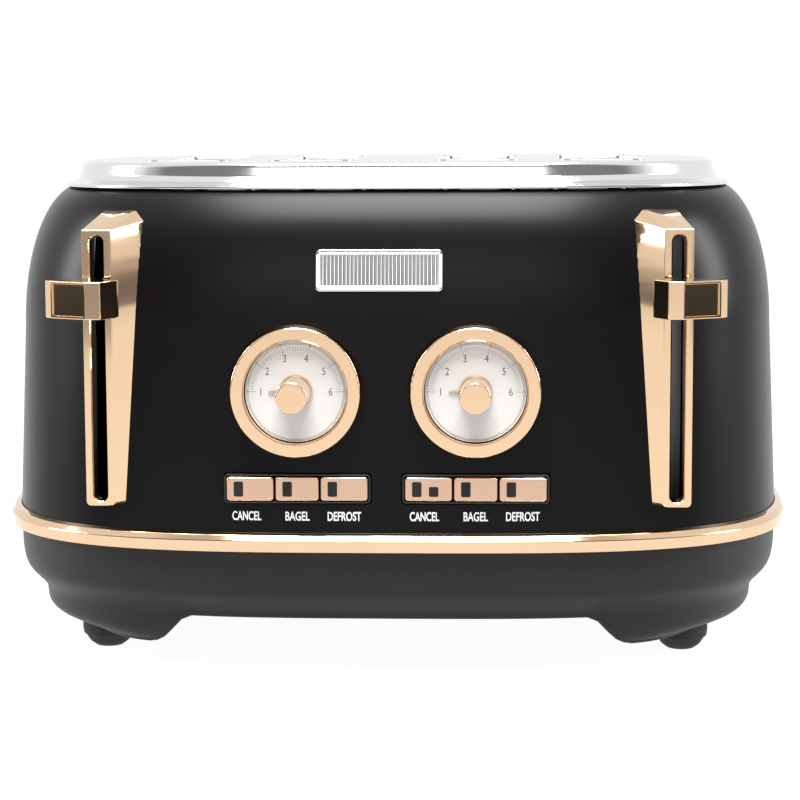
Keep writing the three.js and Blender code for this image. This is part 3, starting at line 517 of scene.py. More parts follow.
base = {
    "top": 0.0494,
    "wall": 0.0024,
    "arch": 0.0212,
    "plinth": 0.0088,
    "skidFrom": 0.0790,
    "skidTo": 0.0945,
    "frontFrom": 0.0128,  # in front and behind, the plinth draws in less past this inset
    "frontDraw": 0.35,
    "frontSpread": (0.66, 0.92),  # shares of the half width between which it draws in fully again
    "wallTop": 0.043,
    "wallSteps": 44,
    "fillet": 1.2 * mm,
    "floorInset": 0.100,
    "cordHole": 6.3 * mm,
    "sideArch": 0.0036,
    "sideArchHalf": 0.050,
    "sideArchEase": 0.004,
    "curve": [(0.0040, 0.0430), (0.0041, 0.0400), (0.0044, 0.0370), (0.0049, 0.0342), (0.0058, 0.0318),
              (0.0070, 0.0300), (0.0086, 0.0282), (0.0104, 0.0262), (0.0122, 0.0240), (0.0131, 0.0222),
              (0.0134, 0.0205), (0.0136, 0.0185), (0.0138, 0.0165), (0.0146, 0.0148), (0.0162, 0.0132),
              (0.0186, 0.0118), (0.0218, 0.0105), (0.0258, 0.0096), (0.0310, 0.0088)],
}

louvre = {"count": 9, "pitch": 0.012, "firstBack": 0.048, "z": 0.0172, "width": 3.6 * mm, "height": 6.4 * mm,
          "through": (0.118, 0.158)}


def easeStep(value, start, end):
    t = min(max((value - start) / (end - start), 0), 1)
    return t * t * (3 - 2 * t)


def bottomAt(x, y):
    skid = easeStep(abs(x), base["skidFrom"], base["skidTo"])
    half, ease = base["sideArchHalf"], base["sideArchEase"]
    side = 1 - easeStep(abs(y - plan["middleY"]), half - ease, half + ease)
    low = base["plinth"] + base["sideArch"] * side
    return base["arch"] + (low - base["arch"]) * skid


def curveInset(turn, z):
    curve = base["curve"]
    inset = curve[0][0] if z >= curve[0][1] else curve[-1][0]
    for (i0, z0), (i1, z1) in zip(curve, curve[1:]):
        if z1 <= z <= z0:
            inset = i0 + (i1 - i0) * (z0 - z) / (z0 - z1)
    past = max(inset - base["frontFrom"], 0)
    across = easeStep(abs(math.cos(turn)) * spreadAt(turn), *base["frontSpread"])
    return inset - past * (1 - base["frontDraw"]) * (1 - across)


def buildBase():
    count = plan["steps"]
    seat = rounded([(0.0042, base["top"]), (0.0039, base["top"] - 0.5 * mm), (0.0040, 0.0440)])
    rows = sweptRows(seat)
    wallTop, wallSteps, fillet = base["wallTop"], base["wallSteps"], base["fillet"]
    ends = []
    for i in range(count):
        turn = 2 * math.pi * i / count
        z = base["arch"]
        for _ in range(6):  # the wall ends where the bottom surface meets it
            p = planPoint(turn, curveInset(turn, z), z)
            z = bottomAt(p.x, p.y)
        ends.append((turn, z))
    for k in range(wallSteps + 1):
        row = []
        for turn, zEnd in ends:
            z = wallTop - (wallTop - zEnd - fillet) * k / wallSteps
            row.append(planPoint(turn, curveInset(turn, z), z))
        rows.append(row)
    for k in range(1, 5):
        row = []
        bend = k / 4 * math.pi / 2
        for turn, zEnd in ends:
            inset = curveInset(turn, zEnd + fillet) + fillet * (1 - math.cos(bend))
            row.append(planPoint(turn, inset, zEnd + fillet * (1 - math.sin(bend))))
        rows.append(row)
    for k in range(1, 37):
        row = []
        for turn, zEnd in ends:
            start = curveInset(turn, zEnd + fillet) + fillet
            p = planPoint(turn, start + (base["floorInset"] - start) * k / 36, 0)
            row.append(Vector((p.x, p.y, bottomAt(p.x, p.y))))
        rows.append(row)
    points, faces = skin(rows, closeEnds=False)
    faces.append(tuple(range((len(rows) - 1) * count, len(rows) * count)))
    piece = newPiece("moulded_base", points, faces, finish["blackMoulding"], 30)
    wall = piece.modifiers.new("wall", "SOLIDIFY")
    wall.thickness = base["wall"]
    wall.offset = -1
    settle(piece)
    cutters = []
    for hand, side in sides.items():
        low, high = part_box(f"crumb_tray_{hand}")
        x, z = (low.x + high.x) / 2, (low.z + high.z) / 2 + 0.1 * mm
        width, height = high.x - low.x + 1.0 * mm, high.z - low.z + 0.9 * mm
        cutters.append(frontCutter(x, z, width, height, 1 * mm, 0.09, 0.17))
        for i in range(louvre["count"]):
            y = plan["middleY"] - louvre["firstBack"] + louvre["pitch"] * i
            outline = roundedRectangle(y, louvre["z"], louvre["width"], louvre["height"], 1.2 * mm, 4)
            rows = [[Vector((side * reach, py, pz)) for py, pz in outline] for reach in louvre["through"]]
            cutters.append(newPiece("cutter", *skin(rows), finish["blackMoulding"]))
    low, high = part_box("cord_gland")
    hole = base["cordHole"]
    cutters.append(turnedCutter([(hole, -0.04), (hole, 0.04)], 0, high.y, (low.z + high.z) / 2))
    combine(piece, cutters, crease=30)
    return place(evenNormals(piece), "housing", "black_plastic", "base_pan")


lip = {"outer": 0.0054, "inner": 0.0064, "top": 0.0525}


# An upstand on the base closes the joint under the trim ring.
def buildLip():
    profile = [(lip["outer"], base["top"]), (lip["outer"], lip["top"]), (lip["inner"], lip["top"]),
               (lip["inner"], base["top"])]
    piece = newPiece("base_joint_lip", *skin(sweptRows(profile, 128), ring=True), finish["blackMoulding"])
    place(piece, "housing", "black_plastic")


foot = {"top": 0.0114, "radius": 0.011}


def buildFoot(node):
    low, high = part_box(node)
    x, y = (low.x + high.x) / 2, (low.y + high.y) / 2
    profile = rounded([(0.1 * mm, 0), (5.6 * mm, 0, 0.6 * mm), (8.0 * mm, 1.8 * mm, 2.4 * mm),
                       (9.8 * mm, 4.6 * mm, 1.5 * mm), (10.6 * mm, 5.2 * mm, 0.4 * mm),
                       (foot["radius"], 7.4 * mm, 0.3 * mm), (foot["radius"], foot["top"]),
                       (0.1 * mm, foot["top"])])
    turns = [math.pi * i / 32 for i in range(64)]
    rows = [[Vector((x + radius * math.cos(t), y + radius * math.sin(t), z)) for t in turns]
            for radius, z in profile]
    points, faces = skin(rows)
    piece = newPiece(node.replace("foot", "rubber_foot"), points, faces, finish["footRubber"], 45)
    return place(piece, "housing", "foot_rubber", node)


gland = {"bore": 4 * mm}


def buildGland():
    low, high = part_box("cord_gland")
    z = (low.z + high.z) / 2
    back = high.y - 3 * mm
    profile = rounded([(gland["bore"], 7 * mm), (6 * mm, 7 * mm), (6 * mm, -0.3 * mm),
                       (9 * mm, -0.3 * mm, 0.3 * mm), (8.6 * mm, -1.8 * mm, 0.8 * mm),
                       (6.4 * mm, -2.9 * mm, 0.6 * mm), (gland["bore"], -3 * mm, 0.5 * mm)], steps=4)
    points, faces = skin(turnedRows(profile, 0, back, z, 64), ring=True)
    piece = newPiece("cord_gland_collar", points, faces, finish["blackMoulding"], 45)
    return place(piece, "housing", "black_plastic", "cord_gland")


buildBase()
buildLip()
for end in ("front", "rear"):
    for hand in sides:
        buildFoot(f"foot_{end}_{hand}")
buildGland()
print("base, feet and gland built")

tower = {
    "half": 5.6 * mm,
    "top": 0.1736,
    "bottom": 0.0662,
    "bevel": 0.75 * mm,
    "footCorner": 1.8 * mm,
    "steps": 24,
    "past": 5 * mm,  # its edges run this far into the housing before they are cut off
    "innerBottom": (-9.2 * mm, 0.0662),
    "innerTop": (-16.5 * mm, 0.1766),
    "corner": (-13.2 * mm, 0.1803),
    "outerTop": (0.7 * mm, 0.1803),
    "outerBottom": (5.2 * mm, 0.0662),
}


def buildTower(hand):
    side = sides[hand]
    x = abs(leverCentre(hand))
    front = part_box(f"lever_bezel_{hand}")[0].y

    def seat(start, spot):
        sx = x + spot[0]
        end = Vector((sx, wallY(sx, spot[1]), spot[1]))
        return end + (end - start).normalized() * tower["past"]

    def blend(a, b, t):
        return tuple(p + (q - p) * t for p, q in zip(a, b))

    points, count = [], tower["steps"]
    for i in range(count + 1):
        t = i / count
        z = tower["bottom"] + (tower["top"] - tower["bottom"]) * t
        outer, inner = Vector((x + tower["half"], front, z)), Vector((x - tower["half"], front, z))
        points += [outer, inner, seat(inner, blend(tower["innerBottom"], tower["innerTop"], t)),
                   seat(outer, blend(tower["outerBottom"], tower["outerTop"], t))]
    last = 4 * count
    points.append(seat(points[last + 1], tower["corner"]))
    peak = last + 4
    faces = [(0, 1, 2, 3)]
    for i in range(count):
        for j in range(4):
            a, b = 4 * i + j, 4 * i + (j + 1) % 4
            faces.append((a, a + 4, b + 4, b))
    faces += [(last, last + 1, peak), (last, peak, last + 3),
              (last + 1, last + 2, peak), (last + 2, last + 3, peak)]
    points = [Vector((side * p.x, p.y, p.z)) for p in points]
    piece = newPiece(f"lever_tower_{hand}", points, faces, finish["copperPlate"])
    work = bmesh.new()
    work.from_mesh(piece.data)
    lowest = [e for e in work.edges if all(v.co.z < tower["bottom"] + 1e-5 for v in e.verts)]
    corners = [e for e in lowest if abs(e.verts[0].co.y - e.verts[1].co.y) > 1 * mm]
    bmesh.ops.bevel(work, geom=corners, offset=tower["footCorner"], segments=5, profile=0.5, affect="EDGES",
                    clamp_overlap=True)
    sharp = [e for e in work.edges if len(e.link_faces) == 2 and e.calc_face_angle(0) > math.radians(14)]
    bmesh.ops.bevel(work, geom=sharp, offset=tower["bevel"], segments=3, profile=0.5, affect="EDGES",
                    clamp_overlap=True)
    bmesh.ops.recalc_face_normals(work, faces=work.faces)
    work.to_mesh(piece.data)
    work.free()

    sunk = wallProfile(0.25 * mm)
    points, faces = skin(sweptRows([(sunk[0][0], sunk[0][1] - 2 * mm)] + sunk))
    wall = newPiece("cutter", points, faces, finish["copperPlate"])
    middle = (lever["slotBottom"] + lever["slotTop"]) / 2
    width, height = lever["slotWidth"], lever["slotTop"] - lever["slotBottom"]
    slot = frontCutter(side * x, middle, width, height, width / 2 - 0.01 * mm,
                       front - 0.5 * mm, front + 0.05, 0.45 * mm, 0.5 * mm)
    combine(piece, [wall, slot], crease=32)
    return place(evenNormals(piece), "housing", "copper", f"lever_bezel_{hand}")


handle = {
    "outline": [(-10.8, 14, 0.8), (-10.8, 18.5, 1.2), (-6.1, 28, 0.5), (-0.4, 28, 0.5), (14.2, 19.5, 1.2),
                (16.9, 16.5, 2.2), (16.3, 13.5, 1.2), (4, 9.5, 0.8), (4, 4), (-4, 4), (-4, 9.5, 0.8)],
    "bevel": 0.8 * mm,
    "panelRim": 1.5 * mm,
    "panelDepth": 0.7 * mm,
}


def buildHandle(hand):
    side = sides[hand]
    low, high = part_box(f"lever_knob_{hand}")
    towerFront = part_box(f"lever_bezel_{hand}")[0].y
    x = abs(leverCentre(hand))
    outline = rounded(handle["outline"], closed=True, steps=4)
    work = bmesh.new()
    loops = []
    for z in (low.z, high.z):
        loops.append([work.verts.new((side * (x + dx * mm), towerFront - out * mm, z))
                      for dx, out in outline])
    count = len(outline)
    for i in range(count):
        j = (i + 1) % count
        work.faces.new((loops[0][i], loops[0][j], loops[1][j], loops[1][i]))
    rims = [e for e in work.edges if abs(e.verts[0].co.z - e.verts[1].co.z) < 1e-6]
    work.faces.new(loops[0])
    work.faces.new(loops[1])
    bmesh.ops.recalc_face_normals(work, faces=work.faces)
    bmesh.ops.bevel(work, geom=rims, offset=handle["bevel"], segments=4, profile=0.5, affect="EDGES",
                    clamp_overlap=True)
    # The long outer facet carries a shallow sunk panel.
    work.faces.ensure_lookup_table()
    start, end = Vector((-0.4, 28)), Vector((14.2, 19.5))
    target = Vector((side * (x + (start.x + end.x) / 2 * mm), towerFront - (start.y + end.y) / 2 * mm,
                     (low.z + high.z) / 2))
    panel = min(work.faces, key=lambda f: (f.calc_center_median() - target).length)
    bmesh.ops.inset_individual(work, faces=[panel], thickness=handle["panelRim"] - handle["bevel"], depth=0)
    bmesh.ops.inset_individual(work, faces=[panel], thickness=0.35 * mm, depth=-handle["panelDepth"])
    mesh = bpy.data.meshes.new(f"lever_handle_{hand}")
    work.to_mesh(mesh)
    work.free()
    piece = addObject(f"lever_handle_{hand}", mesh)
    mesh.materials.append(finish["copperPlate"])
    soften(piece, 40)
    return place(evenNormals(piece), f"carriage_{hand}", "copper", f"lever_knob_{hand}")


for hand in sides:
    buildTower(hand)
    buildHandle(hand)
print("lever towers and handles built")


# Flat text as points and faces facing the user, its middle at x and z.
def letterMesh(text, height, condense, x, y, z, boldness=0.0):
    curve = bpy.data.curves.new("letters", "FONT")
    curve.body = text
    curve.size = 1
    curve.extrude = 0.02
    curve.offset = boldness
    curve.resolution_u = 4
    maker = addObject("letters", curve)
    graph = bpy.context.evaluated_depsgraph_get()
    mesh = bpy.data.meshes.new_from_object(maker.evaluated_get(graph))
    bpy.data.objects.remove(maker)
    xs = [v.co.x for v in mesh.vertices]
    ys = [v.co.y for v in mesh.vertices]
    scale = height / (max(ys) - min(ys))
    points = []
    for v in mesh.vertices:
        points.append(Vector((
            x + (v.co.x - (max(xs) + min(xs)) / 2) * scale * condense,
            y - (v.co.z + 0.02) * scale * 0.25,
            z + (v.co.y - (max(ys) + min(ys)) / 2) * scale,
        )))
    faces = [tuple(p.vertices) for p in mesh.polygons]
    bpy.data.meshes.remove(mesh)
    return points, faces


def gather(parts):
    points, faces = [], []
    for p, f in parts:
        faces += [tuple(i + len(points) for i in face) for face in f]
        points += p
    return points, faces


boxFaces = [(0, 1, 2, 3), (4, 7, 6, 5), (0, 4, 5, 1), (1, 5, 6, 2), (2, 6, 7, 3), (3, 7, 4, 0)]


def barMesh(a, b, width, y0, y1):
    along = (b - a).normalized()
    across = Vector((-along.y, along.x)) * width / 2
    corners = [a - across, b - across, b + across, a + across]
    return [Vector((c.x, y, c.y)) for y in (y0, y1) for c in corners], boxFaces


dialPrint = {
    "numberRadius": 13.4 * mm,
    "numberHeight": 2.9 * mm,
    "fineInner": 16.0 * mm,
    "fineOuter": 17.3 * mm,
    "longInner": 15.2 * mm,
    "longOuter": 19.2 * mm,
    "circle": 18.3 * mm,
    "perNumber": 10,
    "ink": 0.03 * mm,
}


def buildDial(hand):
    x, z = dialCentre(hand)
    y = dialWall(hand)
    opening, front, rim = dialSize["opening"], dialSize["front"], dialSize["bezelRadius"]
    profile = rounded([
        (opening, 0.6 * mm), (opening + 1.6 * mm, 0.6 * mm), (opening + 1.6 * mm, -8 * mm),
        (dialSize["sleeve"], -8 * mm), (dialSize["sleeve"], -3 * mm), (rim, -3 * mm),
        (rim, front - 3.2 * mm, 1.2 * mm), (rim - 1.1 * mm, front, 0.7 * mm),
        (opening + 0.5 * mm, front, 0.3 * mm), (opening + 0.35 * mm, front - 1.2 * mm, 0.2 * mm),
        (opening, front - 1.2 * mm, 0.2 * mm),
    ], closed=True, steps=6)
    points, faces = skin(turnedRows(profile, x, y, z, 128), ring=True)
    bezel = newPiece(f"dial_bezel_ring_{hand}", points, faces, finish["copperPlate"], 40)
    place(evenNormals(bezel), "housing", "copper", f"dial_bezel_{hand}")

    # The card stands forwards in the bezel on a shallow cup, with a bright chamfered rim.
    stand, wide, hole = dialSize["cardStand"], dialSize["cardRadius"], dialSize["cardHole"]
    profile = rounded([(hole, stand - 0.8 * mm), (wide, stand - 0.8 * mm), (wide, stand - 0.1 * mm),
                       (wide - 0.45 * mm, stand - 0.45 * mm), (wide - 0.8 * mm, stand),
                       (hole, stand, 0.1 * mm)], closed=True)
    points, faces = skin(turnedRows(profile, x, y, z, 128), ring=True)
    card = newPiece(f"dial_card_{hand}", points, faces, finish["dialCard"], 30)
    place(card, "housing", "dial_card", f"dial_face_{hand}")

    cup = rounded([(6.3 * mm, -0.9 * mm), (opening + 1.3 * mm, -0.9 * mm), (opening + 1.3 * mm, 0.2 * mm),
                   (19.5 * mm, 0.2 * mm), (19.5 * mm, stand - 0.6 * mm), (19.2 * mm, stand - 0.9 * mm),
                   (6.3 * mm, stand - 0.9 * mm)], closed=True)
    points, faces = skin(turnedRows(cup, x, y, z, 96), ring=True)
    cupPiece = newPiece(f"dial_cup_{hand}", points, faces, finish["frameBlack"], 30)
    place(cupPiece, "housing", "dial_card")

    inkBack, inkFront = y - stand, y - stand - dialPrint["ink"]
    parts = []
    steps = 5 * dialPrint["perNumber"]
    centre = Vector((x, z))
    for i in range(steps + 1):
        turn = math.pi * (1 - i / steps)
        out = Vector((math.cos(turn), math.sin(turn)))
        long = i % dialPrint["perNumber"] == 0
        middle = i % dialPrint["perNumber"] == dialPrint["perNumber"] // 2
        inner = dialPrint["longInner"] if long else dialPrint["fineInner"] - (0.5 * mm if middle else 0)
        outer = dialPrint["longOuter"] if long else dialPrint["fineOuter"]
        width = 0.16 * mm if long else 0.12 * mm
        parts.append(barMesh(centre + out * inner, centre + out * outer, width, inkBack, inkFront))
    for i in range(120):
        a, b = (2 * math.pi * k / 120 for k in (i, i + 1))
        start = centre + Vector((math.cos(a), math.sin(a))) * dialPrint["circle"]
        end = centre + Vector((math.cos(b), math.sin(b))) * dialPrint["circle"]
        parts.append(barMesh(start, end, 0.11 * mm, inkBack, inkFront))
    for number in range(1, 7):
        turn = math.pi * (1 - (number - 1) / 5)
        spot = centre + Vector((math.cos(turn), math.sin(turn))) * dialPrint["numberRadius"]
        parts.append(letterMesh(str(number), dialPrint["numberHeight"], 0.8, spot.x, inkBack, spot.y))
    ink = newPiece(f"dial_print_{hand}", *gather(parts), finish["dialInk"])
    place(ink, "housing", "dial_card")

    radius, reach = dialSize["knobRadius"], dialSize["knobReach"]
    profile = rounded([(0.05 * mm, -14 * mm), (2.9 * mm, -14 * mm), (2.9 * mm, 0.7 * mm),
                       (radius, 0.7 * mm, 0.2 * mm), (radius, stand + 0.2 * mm),
                       (radius + 0.5 * mm, stand + 0.2 * mm, 0.1 * mm),
                       (radius + 0.5 * mm, stand + 1.0 * mm, 0.2 * mm), (radius, stand + 1.7 * mm, 0.3 * mm),
                       (radius, reach - 3.4 * mm), (radius, reach, 0.5 * mm),
                       (radius - 1.5 * mm, reach), (0.05 * mm, reach)], steps=5)
    points, faces = skin(turnedRows(profile, x, y, z, 96))
    knob = newPiece(f"dial_knob_turned_{hand}", points, faces, finish["copperPlate"], 40)
    place(evenNormals(knob), f"dial_{hand}", "copper", f"dial_knob_{hand}")

    tip, root = x - 10.4 * mm, x - 5 * mm
    rows = []
    near, far = y - stand - 0.3 * mm, y - stand - 0.9 * mm
    for px, half in ((root, 0.6 * mm), (tip + 1.6 * mm, 0.45 * mm), (tip, 0.12 * mm)):
        rows.append([Vector((px, near, z - half)), Vector((px, near, z + half)),
                     Vector((px, far, z + half * 0.5)), Vector((px, far, z - half * 0.5))])
    needle = newPiece(f"dial_needle_{hand}", *skin(rows), finish["copperSatin"], 20)
    place(needle, f"dial_{hand}", "copper")


for hand in sides:
    buildDial(hand)
print("dials built")

buttons = {
    "edge": 0.7 * mm,
    "stem": 3 * mm,
    "frameRim": 1.1 * mm,
    "frameProud": 0.7 * mm,
    "lensWidth": 3.2 * mm,
    "lensHeight": 5.4 * mm,
    "lensFromLeft": 4.6 * mm,
    "wordDrop": 10.75 * mm,
    "wordHeight": 3.6 * mm,
    "wordShift": {"cancel": -1.6 * mm},
    "wordWidths": {"cancel": 11.3 * mm, "bagel": 9.4 * mm, "defrost": 13.0 * mm},
}

# Finish and (backwards, inwards) sections in millimetres of each button's window.
lensParts = {
    "surround": ("frameBlack", ((0.5, -0.25), (-0.04, -0.25), (-0.1, -0.1), (-0.1, 0.1), (-0.02, 0.12),
                                (0.5, 0.12))),
    "lens": ("smokedLens", ((0.5, 0.1), (-0.03, 0.1), (-0.05, 0.4))),
}


def buildButton(use, hand):
    node = f"button_{use}_{hand}"
    low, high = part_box(node)
    x, z = middleOf(low, high)
    width, height = high.x - low.x, high.z - low.z
    edge, front = buttons["edge"], low.y
    rows = []
    for ahead, inwards in [(7 * mm, 0)] + [
        (edge * (1 - math.sin(t)), edge * (1 - math.cos(t))) for t in [math.pi / 2 * k / 5 for k in range(6)]
    ]:
        rows.append(frontLoop(x, front + ahead, z, width - 2 * inwards, height - 2 * inwards,
                              0.5 * mm + edge - inwards, 5))
    rows.append(frontLoop(x, front, z, width - 2 * edge - 1 * mm, height - 2 * edge - 1 * mm, 0.4 * mm, 5))
    cap = skin(rows)
    thick = buttons["stem"]
    stem = [frontLoop(x, y, z, thick, thick, 0.4 * mm, 3) for y in (front + 6 * mm, high.y)]
    piece = newPiece(f"push_{use}_{hand}", *gather([cap, skin(stem)]), finish["copperSatin"], 35)
    body = f"{use}_{hand}"
    place(evenNormals(piece), body, "copper_button", node)

    lenses = [(low.x + buttons["lensFromLeft"], z, buttons["lensWidth"], buttons["lensHeight"])]
    if use == "cancel" and hand == "right":
        lenses.append((low.x + buttons["lensFromLeft"] + 6.5 * mm, z - 0.9 * mm, 3.2 * mm, 3.4 * mm))
    for number, (lx, lz, lensWidth, lensHeight) in enumerate(lenses):
        for part, (used, sections) in lensParts.items():
            rows = []
            for ahead, inwards in sections:
                inner = 2 * inwards * mm
                rows.append(frontLoop(lx, front + ahead * mm, lz, lensWidth - inner, lensHeight - inner,
                                      0.4 * mm - min(inwards, 0.3) * mm, 4))
            points, faces = skin(rows, ring=part == "surround")
            lens = newPiece(f"{part}_{use}_{hand}_{number + 1}", points, faces, finish[used])
            place(lens, body, "copper_button")


def buildButtonFrame(hand):
    low, high = rowBox(hand)
    x, z = middleOf(low, high)
    width, height = high.x - low.x, high.z - low.z
    rim = buttons["frameRim"]
    wall = wallY(abs(x) - width / 2, z)
    front = wall - buttons["frameProud"]
    rows = []
    sections = [(5 * mm, rim), (0.5 * mm, rim), (0.15 * mm, rim - 0.12 * mm), (0, rim - 0.4 * mm),
                (0, 0.5 * mm), (0.1 * mm, 0.35 * mm), (0.4 * mm, 0.28 * mm), (5 * mm, 0.28 * mm)]
    for ahead, extra in sections:
        rows.append(frontLoop(x, front + ahead, z, width + 2 * extra, height + 2 * extra,
                              0.5 * mm + extra, 6))
    piece = newPiece(f"button_surround_{hand}", *skin(rows, ring=True), finish["frameBlack"], 35)
    place(evenNormals(piece), "housing", "black_plastic", f"button_frame_{hand}")


def buildWords(hand):
    parts = []
    for use, wordWidth in buttons["wordWidths"].items():
        low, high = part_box(f"button_{use}_{hand}")
        x, z = middleOf(low, high)
        x, z = x + buttons["wordShift"].get(use, 0), z - buttons["wordDrop"]
        points, faces = letterMesh(use.upper(), buttons["wordHeight"], 1, 0, 0, 0, 0.02)
        across = max(p.x for p in points) - min(p.x for p in points)
        squeeze = wordWidth / across
        placed = []
        for p in points:
            px, pz = x + p.x * squeeze, z + p.z
            placed.append(Vector((px, wallY(px, pz, 0.02 * mm) + p.y * 0.25, pz)))
        parts.append((placed, faces))
    piece = newPiece(f"button_words_{hand}", *gather(parts), finish["whiteInk"], 20)
    place(piece, "housing", "black_enamel")


for hand in sides:
    for use in buttonUses:
        buildButton(use, hand)
    buildButtonFrame(hand)
    buildWords(hand)
print("buttons built")

badge = {"rim": 2.0 * mm, "proud": 2.1 * mm, "sink": 0.9 * mm, "flutes": 30, "fluteDepth": 0.35 * mm}


def buildBadge():
    low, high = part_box("name_badge")
    x, z = middleOf(low, high)
    width, height = high.x - low.x, high.z - low.z
    rows = []
    proud, sink = badge["proud"], badge["sink"]
    sections = [(-1.2 * mm, 0), (proud - 0.5 * mm, 0), (proud - 0.15 * mm, 0.15 * mm), (proud, 0.5 * mm),
                (proud, badge["rim"] - 0.4 * mm), (proud - 0.2 * mm, badge["rim"]),
                (proud - sink, badge["rim"] + 0.35 * mm), (-1.2 * mm, badge["rim"] + 0.4 * mm)]
    for stand, inwards in sections:
        corner = max(2 * mm - inwards, 0.5 * mm)
        outline = roundedRectangle(x, z, width - 2 * inwards, height - 2 * inwards, corner, 8)
        rows.append([Vector((px, wallY(px, pz, stand), pz)) for px, pz in outline])
    piece = newPiece("badge_border", *skin(rows, ring=True), finish["polishedSteel"], 35)
    place(evenNormals(piece), "housing", "polished_steel", "name_badge")

    # The field inside the border is plain fluted metal.
    across, up = badge["flutes"] * 8, 6
    halfWidth, halfHeight = width / 2 - badge["rim"] - 0.2 * mm, height / 2 - badge["rim"] - 0.2 * mm
    points, faces = [], []
    for j in range(up + 1):
        for i in range(across + 1):
            px = x - halfWidth + 2 * halfWidth * i / across
            pz = z - halfHeight + 2 * halfHeight * j / up
            wave = abs(math.sin(math.pi * badge["flutes"] * i / across))
            stand = proud - sink - badge["fluteDepth"] * (1 - wave)
            points.append(Vector((px, wallY(px, pz, stand), pz)))
    for j in range(up):
        for i in range(across):
            a = j * (across + 1) + i
            faces.append((a, a + 1, a + across + 2, a + across + 1))
    field = newPiece("badge_field", points, faces, finish["polishedSteel"], 60)
    thick = field.modifiers.new("thickness", "SOLIDIFY")
    thick.thickness = 0.4 * mm
    thick.offset = -1
    settle(field)
    soften(field, 60)
    place(field, "housing", "polished_steel")


buildBadge()
print("badge built")

chamber = {"ribbons": 15, "ribbonWidth": 1.1 * mm, "ribbonSheet": 0.12 * mm, "edgeBevel": 0.2 * mm}


def buildWinding(node):
    low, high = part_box(node)
    x = (low.x + high.x) / 2
    y0, y1 = low.y + 9 * mm, high.y - 9 * mm
    parts = []
    for face in (-1, 1):
        sheet = chamber["ribbonSheet"]
        near = x + face * ((high.x - low.x) / 2)
        far = near + face * sheet
        for i in range(chamber["ribbons"]):
            z = low.z + 8 * mm + (high.z - low.z - 16 * mm) * i / (chamber["ribbons"] - 1)
            slope = 2.2 * mm * face
            half = chamber["ribbonWidth"] / 2
            corners = [(y0, z - half - slope), (y1, z - half + slope),
                       (y1, z + half + slope), (y0, z + half - slope)]
            points = [Vector((px, py, pz)) for px in (near, far) for py, pz in corners]
            parts.append((points, boxFaces))
    points, faces = gather(parts)
    piece = newPiece(node.replace("board", "winding"), points, faces, finish["heatingRibbon"], 20)
    place(piece, "housing", "mica")


spring = {"turns": 13, "wire": 0.7 * mm, "radius": 4.6 * mm, "steps": 24, "keep": 0.25}


def buildSpring(hand):
    low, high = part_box(f"lift_spring_{hand}")
    rodLow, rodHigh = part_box(f"guide_rod_{hand}")
    x, y = (rodLow.x + rodHigh.x) / 2, (rodLow.y + rodHigh.y) / 2
    wire, radius = spring["wire"], spring["radius"]
    z0, z1 = low.z + wire, high.z - wire
    total = spring["turns"] * spring["steps"]
    rows = []
    for i in range(total + 1):
        turn = 2 * math.pi * i / spring["steps"]
        share = i / total
        ease = share + 0.012 * math.sin(2 * math.pi * share)
        middle = Vector((x + radius * math.cos(turn), y + radius * math.sin(turn), z0 + (z1 - z0) * ease))
        out = Vector((math.cos(turn), math.sin(turn), 0))
        row = []
        for k in range(8):
            a = 2 * math.pi * k / 8
            row.append(middle + out * wire * math.cos(a) + Vector((0, 0, wire * math.sin(a))))
        rows.append(row)
    piece = newPiece(f"lift_coil_{hand}", *skin(rows), finish["zincSteel"], 60)
    place(piece, "housing", "plated_steel", f"lift_spring_{hand}")
    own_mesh(piece)


# The magnet takes the darkened steel, painted shade that hides a highlight on its top edge.
keptFinishes = {
    "chassis": "zincSteel", "bread_guard": "zincSteel", "bread_rack": "zincSteel", "carriage": "zincSteel",
    "guide_rod": "zincSteel", "magnet": "shadeDarkenedSteel", "crumb_tray": "zincSteel", "control_board": "boardGreen",
    "heater_board": "micaSheet",
}


def finishKeptNodes():
    for name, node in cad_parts.items():
        if node.hide_render:
            continue
        found = [f for start, f in keptFinishes.items() if name.startswith(start)]
        if not found:
            print("no finish for", name)
            continue
        node.data.materials.clear()
        node.data.materials.append(finish[found[0]])
        bevel = node.modifiers.new("edges", "BEVEL")
        bevel.width = chamber["edgeBevel"]
        bevel.segments = 2
        bevel.limit_method = "ANGLE"
        bevel.angle_limit = math.radians(40)


for number in range(1, 7):
    buildWinding(f"heater_board_{number}")
for hand in sides:
    buildSpring(hand)
finishKeptNodes()
print("chamber and mechanism finished")

studio = {
    "floorSize": 6.0,
    "floorColour": (0.07, 0.07, 0.07),
    "floorGlow": 0.96,
    # brightness of the surroundings from straight ahead of the toaster (0) round to behind it (1)
    "sky": [(0.0, 0.92), (0.035, 0.86), (0.08, 0.26), (0.22, 0.24), (0.29, 0.6), (0.35, 1.0), (1.0, 1.0)],
    # cards that darken the copper, on both sides: from (x, y), to (x, y), height, brightness
    "cards": {"side": ((0.75, -0.29), (0.75, -0.61), 0.125, 0.02),
              "ahead": ((0.27, -1.5), (0.85, -1.3), 0.3, 0.2)},
}


def buildFloor():
    half = studio["floorSize"] / 2
    points = [Vector((sx * half, sy * half, 0)) for sx, sy in ((-1, -1), (1, -1), (1, 1), (-1, 1))]
    pale = makeFinish("paleFloor", {"colour": studio["floorColour"], "roughness": (0.8, 0.9),
                                    "grainScale": 50, "specular": 0.05, "grainStrength": 0.0})
    shader = pale.node_tree.nodes["Principled BSDF"]
    shader.inputs["Emission Color"].default_value = (1, 1, 1, 1)
    shader.inputs["Emission Strength"].default_value = studio["floorGlow"]
    floor = newPiece("studio_floor", points, [(0, 1, 2, 3)], pale)


